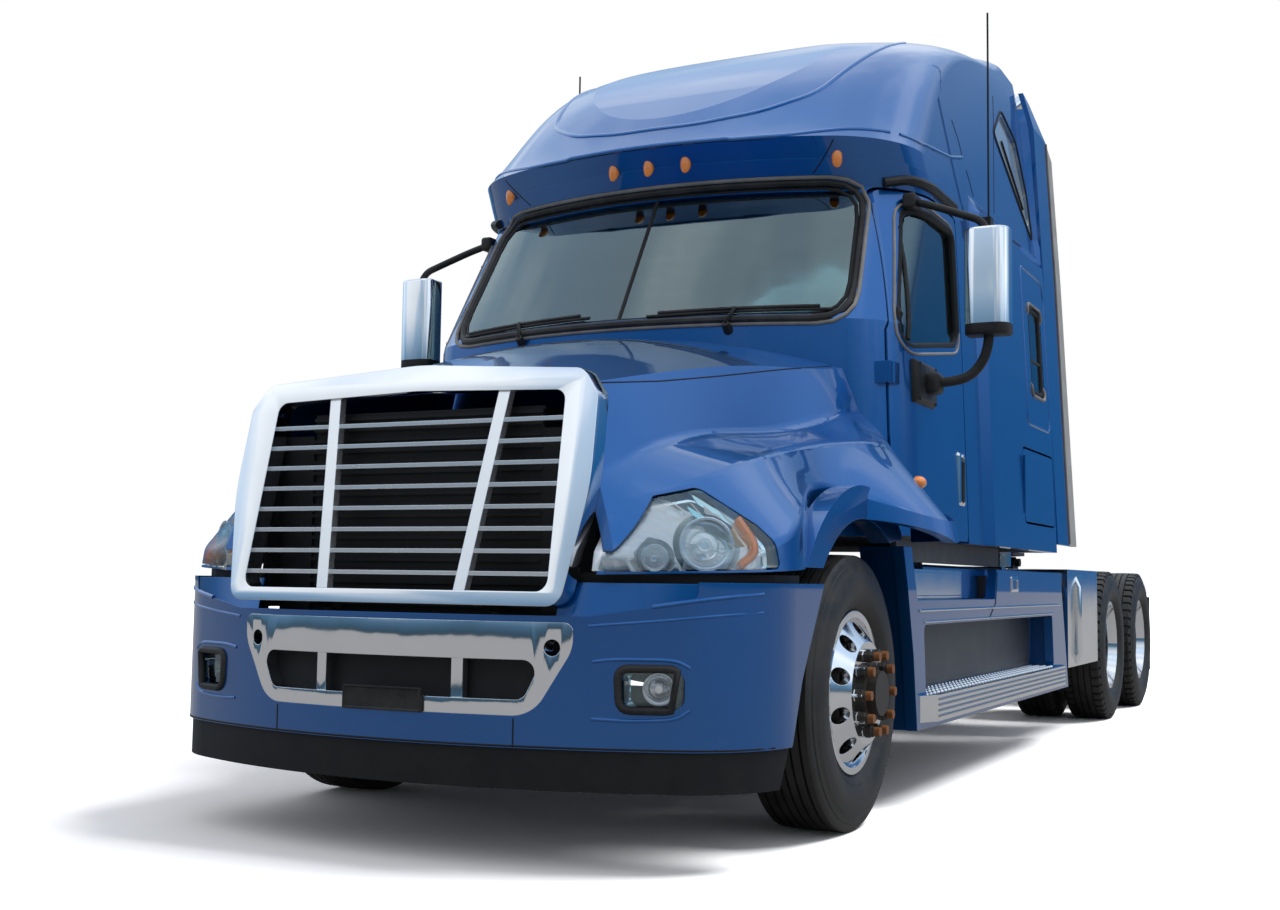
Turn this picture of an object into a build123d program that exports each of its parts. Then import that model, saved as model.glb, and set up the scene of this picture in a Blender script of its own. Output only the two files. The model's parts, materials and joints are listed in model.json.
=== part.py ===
from build123d import *
import math
import os

# Semi truck tractor unit: sleeper cab, steered front axle and a tandem of driven axles.
# Units mm, +Z up, nose towards -Y, left side +X. Origin on the ground at the centre of the footprint.

# ---------------------------------------------------------------- driving dimensions
OVERALL_LENGTH = 8800
FRONT_OVERHANG = 1330          # bumper face ahead of the front axle
TANDEM_FRONT = 5480            # first driven axle behind the front axle
TANDEM_SPACING = 1320
CAB_HALF = 1190                # half width of the cab at its sill
BUMPER_HALF = 1210

TYRE_R = 508
TYRE_WIDTH = 295
RIM_R = 286                    # bead seat
RIM_FLANGE_R = 300
FRONT_TYRE_X = 1042            # middle of the front tyres
DUAL_OUTER_X = 1072            # middle of the outer drive tyres
DUAL_SPACING = 343
KINGPIN_X = 870
STUD_CIRCLE_R = 142.875
STUD_COUNT = 10
HAND_HOLE_R = 31
HUB_PILOT_R = 110

FRAME_HALF = 432               # outer faces of the rails
RAIL_DEPTH = 270
RAIL_TOP = 1000
RAIL_FLANGE = 88
RAIL_WEB = 10
FRAME_START = -930             # rail tips, behind the front axle

FIT = 0.3                      # clearance of parts that turn or seat on each other
SHUT_GAP = 12                  # gap round doors, lids and the tilting hood
WALL = 60                      # full thickness of cab walls and doors
GLASS = 10
GLASS_INSET = 14

AXLE_Z = TYRE_R
NOSE_Y = -OVERALL_LENGTH / 2
TAIL_Y = OVERALL_LENGTH / 2
FRONT_AXLE_Y = NOSE_Y + FRONT_OVERHANG


def sta(behind):
    """Y of a station measured rearward from the front axle."""
    return FRONT_AXLE_Y + behind


# ---------------------------------------------------------------- helpers
os.makedirs("parts", exist_ok=True)


def save(name, shape):
    """Write one node."""
    export_step(shape, f"parts/{name}.step")


def block(x0, x1, s0, s1, z0, z1):
    """Box between two X, two stations and two heights."""
    size = (x1 - x0, s1 - s0, z1 - z0)
    middle = ((x0 + x1) / 2, sta((s0 + s1) / 2), (z0 + z1) / 2)
    return Pos(*middle) * Box(*size)


def side_outline(points, x0, x1, radius=0):
    """Outline of (station, Z) points, extruded across the truck from x0 to x1."""
    path = [(sta(s), z) for s, z in points]
    wire = FilletPolyline(*path, radius=radius, close=True) if radius else Polyline(*path, close=True)
    return extrude(Plane.YZ.offset(x0) * make_face(wire), amount=x1 - x0, dir=(1, 0, 0))


def front_outline(points, s0, s1, radius=0):
    """Outline of (X, Z) points, extruded along the truck between two stations."""
    wire = FilletPolyline(*points, radius=radius, close=True) if radius else Polyline(*points, close=True)
    return extrude(Plane.XZ.offset(-sta(s0)) * make_face(wire), amount=s1 - s0, dir=(0, 1, 0))


def plan_outline(points, z0, z1, radius=0):
    """Outline of (X, station) points, extruded upward from z0 to z1."""
    path = [(x, sta(s)) for x, s in points]
    wire = FilletPolyline(*path, radius=radius, close=True) if radius else Polyline(*path, close=True)
    return extrude(Plane.XY.offset(z0) * make_face(wire), amount=z1 - z0, dir=(0, 0, 1))


def side_face(points, radius=0):
    """Face of (station, Z) points standing in the middle plane."""
    path = [(sta(s), z) for s, z in points]
    wire = FilletPolyline(*path, radius=radius, close=True) if radius else Polyline(*path, close=True)
    return make_face(wire)


def side_prism(face, by, x0, x1):
    """Side face grown by an offset and extruded across the truck."""
    grown_face = offset(face, amount=by) if by else face
    return extrude(Plane.YZ.offset(x0) * grown_face, amount=x1 - x0, dir=(1, 0, 0))


def rod_x(x0, x1, s, z, r):
    """Round bar across the truck."""
    return Pos((x0 + x1) / 2, sta(s), z) * Rot(0, 90, 0) * Cylinder(r, x1 - x0)


def rod_y(s0, s1, x, z, r):
    """Round bar along the truck."""
    return Pos(x, sta((s0 + s1) / 2), z) * Rot(90, 0, 0) * Cylinder(r, s1 - s0)


def rod_z(z0, z1, x, s, r):
    """Upright round bar."""
    return Pos(x, sta(s), (z0 + z1) / 2) * Cylinder(r, z1 - z0)


def mirrored(shape):
    """The same piece on the right side."""
    return mirror(shape, about=Plane.YZ)


def both(shape):
    """The piece and its mirror image as one node."""
    return Compound([*shape.solids(), *mirrored(shape).solids()])


def solids(*shapes):
    """Solids that do not touch, kept in one node."""
    return Compound([s for shape in shapes for s in shape.solids()])


def revolved_x(profile, x, s, z):
    """Turn an (outward X, radius) outline about an axle line through (x, s, z)."""
    face = make_face(Polyline(*profile, close=True))
    ring = revolve(face, axis=Axis.X, revolution_arc=360)
    return Pos(x, sta(s), z) * ring


# ---------------------------------------------------------------- cab body
CAB_FLOOR_Z = 1100
BELT_Z = 2000
HEADER_Z = 2650
SEAM_Z = 2760
CAB_FRONT = 270                # middle of the cab's front wall, below the windscreen
CAB_SAG = 320                  # how far the sides lie behind the middle of the front
CAB_CORNER = 340
CAB_REAR = 3520
REAR_CORNER = 60
ROOF_TOP = 3950
SLEEPER_SWELL = 36             # how far the sleeper's sides stand outside the cab's
SWELL_START = 1880
SWELL_END = 1960

# Z, station of the front's middle, half width, corner radius, swell of the sleeper
CAB_SECTIONS = (
    (CAB_FLOOR_Z, CAB_FRONT, CAB_HALF, CAB_CORNER, SLEEPER_SWELL),
    (BELT_Z, CAB_FRONT, 1160, CAB_CORNER, SLEEPER_SWELL),
    (HEADER_Z, 665, 1128, 400, SLEEPER_SWELL),
    (SEAM_Z, 575, 1120, 440, SLEEPER_SWELL),
)
ROOF_SECTIONS = (
    (SEAM_Z, 575, 1120, 440, SLEEPER_SWELL),
    (2840, 505, 1112, 480, 1),
)
DOME_SECTIONS = (
    (2840, 505, 1112, 480, 0),
    (3130, 790, 1082, 500, 0),
    (3400, 1110, 1055, 480, 0),
    (3640, 1640, 1030, 440, 0),
    (3900, 2640, 990, 380, 0),
)
# (X, Z) of the roof's upper rear edge, rounded by ROOF_EDGE
ROOF_SHOULDER = ((1180, 2700), (1100, 3640), (1040, ROOF_TOP))
ROOF_EDGE = 190
# station, Z of the roof's crown, as an arc through three points
ROOF_CROWN = ((900, 3190), (2000, 3760), (3150, ROOF_TOP))


def plan_face(z, front, half, inset=0, rear=CAB_REAR, corner=CAB_CORNER, sag=CAB_SAG, back_corner=REAR_CORNER,
              swell=0):
    """Plan outline of the cab at one height: arched front, rounded corners, and the wider sleeper behind."""
    x = half - inset
    wide = x + swell
    s0 = sta(front + inset)
    s1 = sta(front + sag + inset * 0.5)
    s2 = sta(rear - inset)
    front_arc = ThreePointArc((-x, s1), (0, s0), (x, s1))
    swell_start, swell_end = sta(SWELL_START), sta(SWELL_END)
    if swell:
        rest = Polyline((x, s1), (x, swell_start), (wide, swell_end), (wide, s2), (-wide, s2), (-wide, swell_end),
                        (-x, swell_start), (-x, s1))
    else:
        rest = Polyline((x, s1), (x, s2), (-x, s2), (-x, s1))
    face = make_face(front_arc + rest)
    ordered = face.vertices().sort_by(Axis.Y)
    face = fillet(ordered[:2], corner - inset)
    back = face.vertices().sort_by(Axis.Y)[-2:]
    face = fillet(back, max(back_corner - inset, 10))
    return Plane.XY.offset(z) * face


def shell_body(sections, inset, ruled=True):
    """Solid through the plan outlines, drawn in by inset."""
    return loft([plan_face(z, front, half, inset, corner=corner, swell=swell)
                 for z, front, half, corner, swell in sections], ruled=ruled)


def cab_body(inset):
    """Cab below the roof seam."""
    return shell_body(CAB_SECTIONS, inset)


DOOR_FRONT = 600
DOOR_REAR = 1580
DOOR_TOP = 2640
# station, Z
DOOR_OUTLINE = (
    (DOOR_FRONT, CAB_FLOOR_Z + 8),
    (DOOR_FRONT, 1960),
    (880, DOOR_TOP),
    (DOOR_REAR, DOOR_TOP),
    (DOOR_REAR, CAB_FLOOR_Z + 8),
)
DOOR_RADII = 40
WINDOW_OUTLINE = (
    (650, 1975),
    (935, 2560),
    (1500, 2560),
    (1500, 2010),
    (720, 1900),
)
SLEEPER_WINDOW = ((2960, 1960), (2960, 2480), (3300, 2480), (3300, 1960))
BAGGAGE_START = 2660
BAGGAGE = ((BAGGAGE_START, 1250), (BAGGAGE_START, 1640), (3440, 1640), (3440, 1250))
ROOF_WINDOW = ((2700, 3380), (2950, 3560), (3250, 3470), (3400, 3200), (3420, 2960), (3330, 3020))
WINDSCREEN_OUTLINE = ((-985, 2020), (-930, 2630), (930, 2630), (985, 2020))
SLEEPER_START = DOOR_REAR + SHUT_GAP
DOOR_AXIS_X = 1128             # door hinge, beside the front edge of the door
DOOR_AXIS_S = DOOR_FRONT - 12
DOOR_HINGE_R = 11
DOOR_HINGES = (1300, 1780)     # heights of the door's hinges
DOOR_HINGE_HALF = 45
DOOR_SWING_R = 88              # reach of the door's inner corner round its hinge
SKIRT_X = 1090                 # strip below the doors
SKIRT_LOW = 1005
LID_AXIS_X = 1184 + SLEEPER_SWELL     # hinge of the baggage door
LID_AXIS_S = BAGGAGE_START - SHUT_GAP / 2
LID_HINGE_R = SHUT_GAP / 2 - FIT
FAR = 1500
BACK_WALL = CAB_REAR - WALL


def build_cab():
    """Walls, doors, glass, floor and roof."""
    outer = cab_body(0)
    walls = outer - cab_body(WALL)
    glass = cab_body(GLASS_INSET) - cab_body(GLASS_INSET + GLASS)

    door_face = side_face(DOOR_OUTLINE, DOOR_RADII)
    door_cut = side_prism(door_face, SHUT_GAP, 700, FAR)
    door_hole = door_cut + mirrored(door_cut)
    door_zone = side_prism(door_face, 0, 700, FAR)
    window = side_outline(WINDOW_OUTLINE, 700, FAR, 70)
    screen = front_outline(WINDSCREEN_OUTLINE, 0, 1200, 60)
    sleeper_window = side_outline(SLEEPER_WINDOW, 700, FAR, 60)
    baggage_face = side_face(BAGGAGE, 40)
    baggage_cut = side_prism(baggage_face, SHUT_GAP, 700, FAR)
    baggage_zone = side_prism(baggage_face, 0, 700, FAR)

    front_zone = block(-FAR, FAR, 0, DOOR_REAR - 200, CAB_FLOOR_Z, SEAM_Z)
    front = walls & front_zone
    front = front - door_hole - screen
    header = walls & block(-FAR, FAR, DOOR_REAR - 200, SLEEPER_START, DOOR_TOP, SEAM_Z)
    front = front + (header - door_hole)
    leaves = None
    for z in DOOR_HINGES:
        low, high = z - DOOR_HINGE_HALF, z + DOOR_HINGE_HALF
        barrel = rod_z(low, high, DOOR_AXIS_X, DOOR_AXIS_S, DOOR_HINGE_R)
        barrel = barrel + block(1030, DOOR_AXIS_X, DOOR_AXIS_S - 40, DOOR_AXIS_S, low, high)
        leaf = block(1060, DOOR_AXIS_X + DOOR_HINGE_R, DOOR_AXIS_S, DOOR_AXIS_S + 60, low, high)
        leaf = leaf - rod_z(low - 1, high + 1, DOOR_AXIS_X, DOOR_AXIS_S, DOOR_HINGE_R + FIT)
        leaf = leaf - block(0, DOOR_AXIS_X, 0, DOOR_FRONT, low - 1, high + 1)
        front = front + barrel + mirrored(barrel)
        leaves = leaf if leaves is None else leaves + leaf
    save("cab_front", front)

    left_zone = block(0, FAR, SLEEPER_START, BACK_WALL, CAB_FLOOR_Z, SEAM_Z)
    left = (walls & left_zone) - sleeper_window - baggage_cut - door_hole
    hinge = rod_z(1290, 1600, LID_AXIS_X, LID_AXIS_S, LID_HINGE_R)
    hinge = hinge + block(LID_AXIS_X - LID_HINGE_R, LID_AXIS_X + LID_HINGE_R, LID_AXIS_S - 12, LID_AXIS_S, 1290, 1600)
    left = left + hinge
    save("sleeper_left", left)
    save("sleeper_right", mirrored(left))
    back = walls & block(-FAR, FAR, BACK_WALL, CAB_REAR + 10, CAB_FLOOR_Z, SEAM_Z)
    save("sleeper_back", back)

    door = (walls & door_zone) - window + leaves
    save("door_left", door)
    save("door_right", mirrored(door))
    pane = glass & window
    save("door_glass_left", pane)
    save("door_glass_right", mirrored(pane))
    side_panes = glass & sleeper_window
    save("cab_glass", solids((glass & screen) - door_hole, side_panes, mirrored(side_panes)))

    lid = walls & baggage_zone
    save("baggage_door_left", lid)
    save("baggage_door_right", mirrored(lid))

    inside = cab_body(WALL + FIT)
    floor = inside & block(-FAR, FAR, 0, BACK_WALL, CAB_FLOOR_Z, CAB_FLOOR_Z + 50)
    swing = rod_z(CAB_FLOOR_Z - 1, CAB_FLOOR_Z + 51, DOOR_AXIS_X, DOOR_AXIS_S, DOOR_SWING_R)
    floor = floor - swing - mirrored(swing)
    skirt = block(SKIRT_X - 25, SKIRT_X, 760, 2600, SKIRT_LOW, CAB_FLOOR_Z)
    floor = floor + skirt + mirrored(skirt)
    save("cab_floor", floor)


def build_roof():
    """Roof cap with its brow and high dome, hollow underneath."""
    def cap(inset, lift):
        brow = shell_body(ROOF_SECTIONS, inset)
        dome = shell_body(DOME_SECTIONS, inset, ruled=False)
        crown = [(sta(s), z - lift) for s, z in ROOF_CROWN]
        end = sta(CAB_REAR + 200)
        top_arc = ThreePointArc(*crown)
        under = Polyline(crown[-1], (end, crown[-1][1]), (end, 2000), (crown[0][0] - 900, 2000),
                         (crown[0][0] - 900, crown[0][1] - 700), crown[0])
        trim = extrude(Plane.YZ.offset(-FAR) * make_face(top_arc + under), amount=2 * FAR, dir=(1, 0, 0))
        right = [(x - inset, min(z, ROOF_TOP - lift)) for x, z in ROOF_SHOULDER]
        left = [(-x, z) for x, z in reversed(right)]
        arch = front_outline([(right[0][0], 2600), right[1], right[2], *left[:2], (-right[0][0], 2600)],
                             -FAR, 2 * CAB_REAR, ROOF_EDGE - inset)
        return brow + (dome & trim & arch)

    outer = cap(0, 0)
    pane_zone = side_outline(ROOF_WINDOW, 700, FAR, 50)
    pocket = pane_zone - cap(GLASS_INSET, GLASS_INSET)
    roof = outer - cap(WALL, WALL) - pocket - mirrored(pocket)
    save("roof_cap", roof)


# ---------------------------------------------------------------- hood
HOOD_WALL = 30
HOOD_REAR_GAP = 14
ARCH_R = 640
FLARE_R = 765
ARCH_LIP_X = 1200

# station, crown Z, then (X, Z) of crease, valley, shoulder, outer edge, lower edge
HOOD_SECTIONS = (
    (-1340, 1560, (585, 1500), (655, 1240), (668, 1120), (680, 1010), (680, 900)),
    (-1150, 1595, (605, 1540), (690, 1260), (760, 1160), (880, 1000), (880, 900)),
    (-960, 1640, (640, 1580), (735, 1330), (900, 1225), (1120, 1010), (1140, 930)),
    (-560, 1760, (715, 1660), (800, 1420), (1010, 1345), (1172, 1160), (1180, 960)),
    (0, 1895, (825, 1742), (895, 1490), (1050, 1440), (1172, 1250), (1180, 1000)),
    (620, 2040, (990, 1820), (1030, 1600), (1085, 1500), (1150, 1290), (1160, 1000)),
)
VALLEY_R, SHOULDER_R, EDGE_R = 60, 70, 60


def hood_face(section, inset):
    """Cross outline of the hood's left half and fender at one station."""
    s, crown, crease, valley, shoulder, outer, lower = section
    floor_z = 900 - (400 if inset else 0)
    edge = (crease[0] - inset * 0.7, crease[1] - inset)
    crown_arc = TangentArc((0, crown - inset), edge, tangent=(1, 0))
    flank = FilletPolyline(
        edge,
        (valley[0] - inset, valley[1] - inset),
        (shoulder[0] - inset * 0.7, shoulder[1] - inset),
        (outer[0] - inset, outer[1] - inset * 0.5),
        (lower[0] - inset, floor_z),
        radius=[VALLEY_R, SHOULDER_R, EDGE_R],
    )
    closing = Polyline((lower[0] - inset, floor_z), (0, floor_z), (0, crown - inset))
    return Plane.XZ.offset(-sta(s)) * make_face(crown_arc + flank + closing)


def hood_body(inset):
    """Loft through the cross outlines of the hood's left half."""
    return loft([hood_face(section, inset) for section in HOOD_SECTIONS])


def arch_ring(r0, r1, x0, x1):
    """Ring sector over the front wheel."""
    return rod_x(x0, x1, 0, AXLE_Z, r1) - rod_x(x0 - 1, x1 + 1, 0, AXLE_Z, r0)


HOOD_REAR = 572                # rear edge of the hood's sides
HOOD_LOWER = ((-1400, 918), (-620, 955), (-400, 960), (380, 1078), (HOOD_REAR, 1078), (HOOD_REAR, 2300),
              (-1400, 2300))
LAMP_OUTLINE = ((-1262, 932), (-1240, 975), (-1060, 1180), (-930, 1215), (-862, 1090), (-850, 950))
LAMP_RADIUS = 24
LAMP_GAP = 7
LAMP_INNER_X = 715
# X, station of the lamp housing behind the lens
LAMP_HOUSING = ((700, -1300), (1160, -1300), (1160, -860), (1030, -860), (700, -1140))


def build_hood():
    """Hood with both fenders, the grille and the headlamps."""
    outer = hood_body(0)
    inner = hood_body(HOOD_WALL)
    arch = rod_x(700, FAR, 0, AXLE_Z, ARCH_R)
    flare = arch_ring(ARCH_R, FLARE_R, 1120, ARCH_LIP_X) & block(700, FAR, -760, 470, 960, 1400)
    rear_cut = plan_face(400, CAB_FRONT - HOOD_REAR_GAP, 1400, 0, corner=20, sag=CAB_SAG * (1400 / 1160) ** 2)
    rear_cut = extrude(rear_cut, amount=1900, dir=(0, 0, 1))
    keep = side_outline(HOOD_LOWER, 0, FAR) - rear_cut - leaning_slab(600, GRILLE_DEPTH + FIT - 600)
    lamp_face = side_face(LAMP_OUTLINE, LAMP_RADIUS)
    lamp = side_prism(lamp_face, 0, LAMP_INNER_X, FAR)
    bezel = side_prism(lamp_face, -LAMP_GAP, LAMP_INNER_X + LAMP_GAP, FAR) & keep
    seat = side_prism(lamp_face, -FIT, LAMP_INNER_X + FIT, FAR) & keep
    half = (outer & (keep - lamp - arch)) - inner
    half = half + (flare & keep)
    save("hood", half + mirrored(half))
    save("headlamp_lenses", both((outer & bezel) - inner))
    save("headlamp_bodies", both(inner & (seat & plan_outline(LAMP_HOUSING, 800, 1400))))


# ---------------------------------------------------------------- grille, bumper and nose
GRILLE_LEAN = 0.21             # how far the grille's foot lies ahead of its top, per unit height
GRILLE_TOP_Z = 1620
GRILLE_TOP_S = -1165
GRILLE_DEPTH = 75
SURROUND_OUTLINE = ((0, 1632), (640, 1590), (705, 1500), (715, 1200), (655, 825), (-655, 825),
                    (-715, 1200), (-705, 1500), (-640, 1590))
SURROUND_RADII = (900, 60, 60, 900, 60, 60, 900, 60, 60)
OPENING_OUTLINE = ((0, 1540), (585, 1520), (605, 870), (-605, 870), (-585, 1520))
OPENING_RADII = (900, 40, 40, 40, 40)
BAR_COUNT = 8
BAR_FIRST_Z = 925
BAR_PITCH = 72
BAR_HEIGHT = 14
BAR_DEPTH = 26
POST_TOP_X = 350
POST_FOOT_X = 272
POST_WIDTH = 44
HINGE_S = -1300                # hood hinge, inside the grille's foot
HINGE_Z = 838
HINGE_X = 340
HINGE_PIN_R = 10
HINGE_EYE_R = 18
HINGE_EYE_HALF = 15            # half the width of the hinge's eye


def grille_face(z):
    """Station of the grille's front plane at one height."""
    return GRILLE_TOP_S - (GRILLE_TOP_Z - z) * GRILLE_LEAN


def leaning_slab(depth, back=0):
    """Slab parallel to the grille's front plane."""
    low, high = 700, 1750
    return side_outline([
        (grille_face(low) + back, low),
        (grille_face(high) + back, high),
        (grille_face(high) + back + depth, high),
        (grille_face(low) + back + depth, low),
    ], -FAR, FAR)


def outline_radii(points, radii, s0, s1):
    """Front outline with its own radius at each corner."""
    wire = FilletPolyline(*points, radius=list(radii), close=True)
    return extrude(Plane.XZ.offset(-sta(s0)) * make_face(wire), amount=s1 - s0, dir=(0, 1, 0))


def build_grille():
    """Chrome surround with its bars and posts, and the radiator behind."""
    ring = outline_radii(SURROUND_OUTLINE, SURROUND_RADII, -1400, -1000)
    hole = outline_radii(OPENING_OUTLINE, OPENING_RADII, -1450, -950)
    ears = leaning_slab(GRILLE_DEPTH)
    surround = (ring - hole) & ears
    slot = block(HINGE_X - HINGE_EYE_HALF - 5, HINGE_X + HINGE_EYE_HALF + 5, HINGE_S - HINGE_EYE_R - 5, -1100,
                 700, HINGE_Z + HINGE_EYE_R + 5)
    pin = rod_x(HINGE_X - HINGE_EYE_HALF - 8, HINGE_X + HINGE_EYE_HALF + 8, HINGE_S, HINGE_Z, HINGE_PIN_R)
    surround = surround - slot - mirrored(slot) + pin + mirrored(pin)
    save("grille_surround", surround)
    bars = None
    for index in range(BAR_COUNT):
        z = BAR_FIRST_Z + index * BAR_PITCH
        s = grille_face(z) + 12
        bar = block(-640, 640, s, s + BAR_DEPTH, z - BAR_HEIGHT / 2, z + BAR_HEIGHT / 2)
        bars = bar if bars is None else bars + bar
    for side in (-1, 1):
        post = front_outline([
            (side * (POST_TOP_X - POST_WIDTH / 2), 1560),
            (side * (POST_TOP_X + POST_WIDTH / 2), 1560),
            (side * (POST_FOOT_X + POST_WIDTH / 2), 850),
            (side * (POST_FOOT_X - POST_WIDTH / 2), 850),
        ], -1400, -1000)
        bars = bars + (post & leaning_slab(BAR_DEPTH + 6, 10))
    save("grille_bars", bars & hole)


RADIATOR_S = -1120
RADIATOR_FIN_COUNT = 18
DUCT_X = 605                   # outer edge of the air ducts beside the core
DUCT_TOP = 1405
ARM_TOP_Z = 700                # top of the arms that carry bumper and radiator


def build_radiator():
    """Radiator core with its fins and side ducts, standing on the rails."""
    core = block(-470, 470, RADIATOR_S, RADIATOR_S + 110, 740, 1480)
    tanks = block(-560, 560, RADIATOR_S - 10, RADIATOR_S + 120, ARM_TOP_Z, 780)
    frame = core + tanks
    fin_pitch = (1480 - 800) / RADIATOR_FIN_COUNT
    for index in range(RADIATOR_FIN_COUNT):
        z = 800 + (index + 0.5) * fin_pitch
        frame = frame + block(-470, 470, RADIATOR_S - 12, RADIATOR_S, z - 6, z + 6)
    for x in (-DUCT_X, 470):
        frame = frame + block(x, x + DUCT_X - 470, RADIATOR_S - 10, RADIATOR_S + 120, ARM_TOP_Z + 80, DUCT_TOP)
    save("radiator", frame)


# Z of the bumper's seams
BUMPER_LOW = 380
BUMPER_TOP = 905
BUMPER_SAG = 330
BUMPER_CORNER = 420
BUMPER_WALL = 40
DAM_LOW = 250
CHROME_OUTLINE = ((-655, 775), (-655, 690), (-530, 480), (530, 480), (655, 690), (655, 775))
CHROME_RADII = (30, 120, 120, 120, 120, 30)
CHROME_OPENING = ((-560, 655), (-500, 530), (500, 530), (560, 655))
CHROME_OPENING_R = 40
CHROME_DEPTH = 60              # thickness of the chrome mouth
TOW_HOLE_X = 590
TOW_HOLE_Z = 695
TOW_HOLE_R = 26
CHROME_POST_X = 270
FOG_X = 890
FOG_Z = 570
FOG_HALF = (95, 60)
BUMPER_TRAIL = ((-1500, 200), (-850, 200), (-760, 400), (-680, 590), (-470, 905), (-470, 1000), (-1500, 1000))


def bumper_inside(z0, z1, inset):
    """Solid within the bumper's plan outline, drawn in by inset."""
    face = plan_face(z0, -FRONT_OVERHANG, BUMPER_HALF, inset, rear=0, corner=BUMPER_CORNER, sag=BUMPER_SAG)
    return extrude(face, amount=z1 - z0, dir=(0, 0, 1))


def bumper_shell(z0, z1, inset, wall):
    """Band of the bumper's plan outline between two heights."""
    return bumper_inside(z0, z1, inset) - bumper_inside(z0 - 1, z1 + 1, inset + wall)


def build_bumper():
    """Painted bumper, chrome mouth, air dam and fog lamps."""
    trail = side_outline(BUMPER_TRAIL, -FAR, FAR)
    shell = bumper_shell(BUMPER_LOW, BUMPER_TOP, 0, BUMPER_WALL) & trail
    top_cut = front_outline([(-1020, 1000), (-1020, 850), (-700, 795), (700, 795), (1020, 850), (1020, 1000)],
                            -1500, -800, 30)
    mouth = outline_radii(CHROME_OUTLINE, CHROME_RADII, -1500, -1100)
    fog = front_outline([(FOG_X - FOG_HALF[0], FOG_Z - FOG_HALF[1]), (FOG_X + FOG_HALF[0], FOG_Z - FOG_HALF[1]),
                         (FOG_X + FOG_HALF[0], FOG_Z + FOG_HALF[1]), (FOG_X - FOG_HALF[0], FOG_Z + FOG_HALF[1])],
                        -1500, -1000, 35)
    fogs = fog + mirrored(fog)
    save("bumper", shell - top_cut - mouth - fogs)

    plate = bumper_shell(BUMPER_LOW, BUMPER_TOP, 0, CHROME_DEPTH) & mouth
    opening = front_outline(CHROME_OPENING, -1500, -1100, CHROME_OPENING_R)
    tow = rod_y(-1500, -1100, TOW_HOLE_X, TOW_HOLE_Z, TOW_HOLE_R)
    posts = bumper_shell(BUMPER_LOW, BUMPER_TOP, 10, 30) & (
        block(CHROME_POST_X - 20, CHROME_POST_X + 20, -1500, -1100, 500, 700)
        + block(-CHROME_POST_X - 20, -CHROME_POST_X + 20, -1500, -1100, 500, 700))
    save("bumper_chrome", plate - opening - tow - mirrored(tow) + posts)
    mesh = bumper_shell(BUMPER_LOW, BUMPER_TOP, CHROME_DEPTH, 12) & block(-558, 558, -1500, -1100, 505, 665)
    save("bumper_mesh", mesh)
    lamp = (bumper_shell(BUMPER_LOW, BUMPER_TOP, 22, 60) & fog)
    save("fog_lamps", both(lamp))
    dam = bumper_shell(DAM_LOW, BUMPER_LOW, 12, BUMPER_WALL + 20) & trail
    save("air_dam", dam)


# ---------------------------------------------------------------- chassis
CROSSMEMBERS = (-880, 900, 2300, 3700, 4780, 6140, 7200)
CAB_MOUNTS = (700, 3300)
RAIL_LOW = RAIL_TOP - RAIL_DEPTH
SPRING_X = 470


def nose_beam():
    """Cross beam and arms that carry the bumper, the radiator and the hood's hinge."""
    beam = block(-560, 560, -1190, -1090, 540, 660)
    for x in (-FRAME_HALF, FRAME_HALF - RAIL_FLANGE):
        beam = beam + block(x, x + RAIL_FLANGE, -1190, FRAME_START, 600, ARM_TOP_Z)
        beam = beam + block(x, x + RAIL_FLANGE, FRAME_START - 55, FRAME_START, 600, RAIL_TOP)
    arm = side_outline([(-1190, 600), (-1140, 600), (-1140, 822), (HINGE_S, HINGE_Z + 14), (HINGE_S, HINGE_Z - 12),
                        (-1190, 802)], HINGE_X - HINGE_EYE_HALF, HINGE_X + HINGE_EYE_HALF)
    eye = rod_x(HINGE_X - HINGE_EYE_HALF, HINGE_X + HINGE_EYE_HALF, HINGE_S, HINGE_Z, HINGE_EYE_R)
    bore = rod_x(HINGE_X - 30, HINGE_X + 30, HINGE_S, HINGE_Z, HINGE_PIN_R + FIT)
    hinge = arm + eye - bore
    behind = bumper_inside(BUMPER_LOW, BUMPER_TOP, CHROME_DEPTH)
    bracket = block(420, 500, -1400, -1140, 690, 750) & behind
    bracket = bracket + block(420, 500, -1190, -1140, 600, 750)
    return beam + hinge + mirrored(hinge) + bracket + mirrored(bracket)


def build_frame():
    """Channel rails with their crossmembers."""
    inner = FRAME_HALF - RAIL_WEB
    end = TAIL_Y - FRONT_AXLE_Y
    rail = block(FRAME_HALF - RAIL_FLANGE, FRAME_HALF, FRAME_START, end, RAIL_LOW, RAIL_TOP)
    rail = rail - block(FRAME_HALF - RAIL_FLANGE - 1, inner, FRAME_START - 1, end + 1,
                        RAIL_LOW + RAIL_WEB, RAIL_TOP - RAIL_WEB)
    frame = rail + mirrored(rail)
    for s in CROSSMEMBERS:
        frame = frame + block(-inner, inner, s - 40, s + 40, RAIL_LOW + 60, RAIL_TOP - 60)
    for s in CAB_MOUNTS:
        mount = block(FRAME_HALF - RAIL_FLANGE, FRAME_HALF, s - 60, s + 60, RAIL_TOP, CAB_FLOOR_Z)
        frame = frame + mount + mirrored(mount)
    save("frame_rails", frame + nose_beam())


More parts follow.
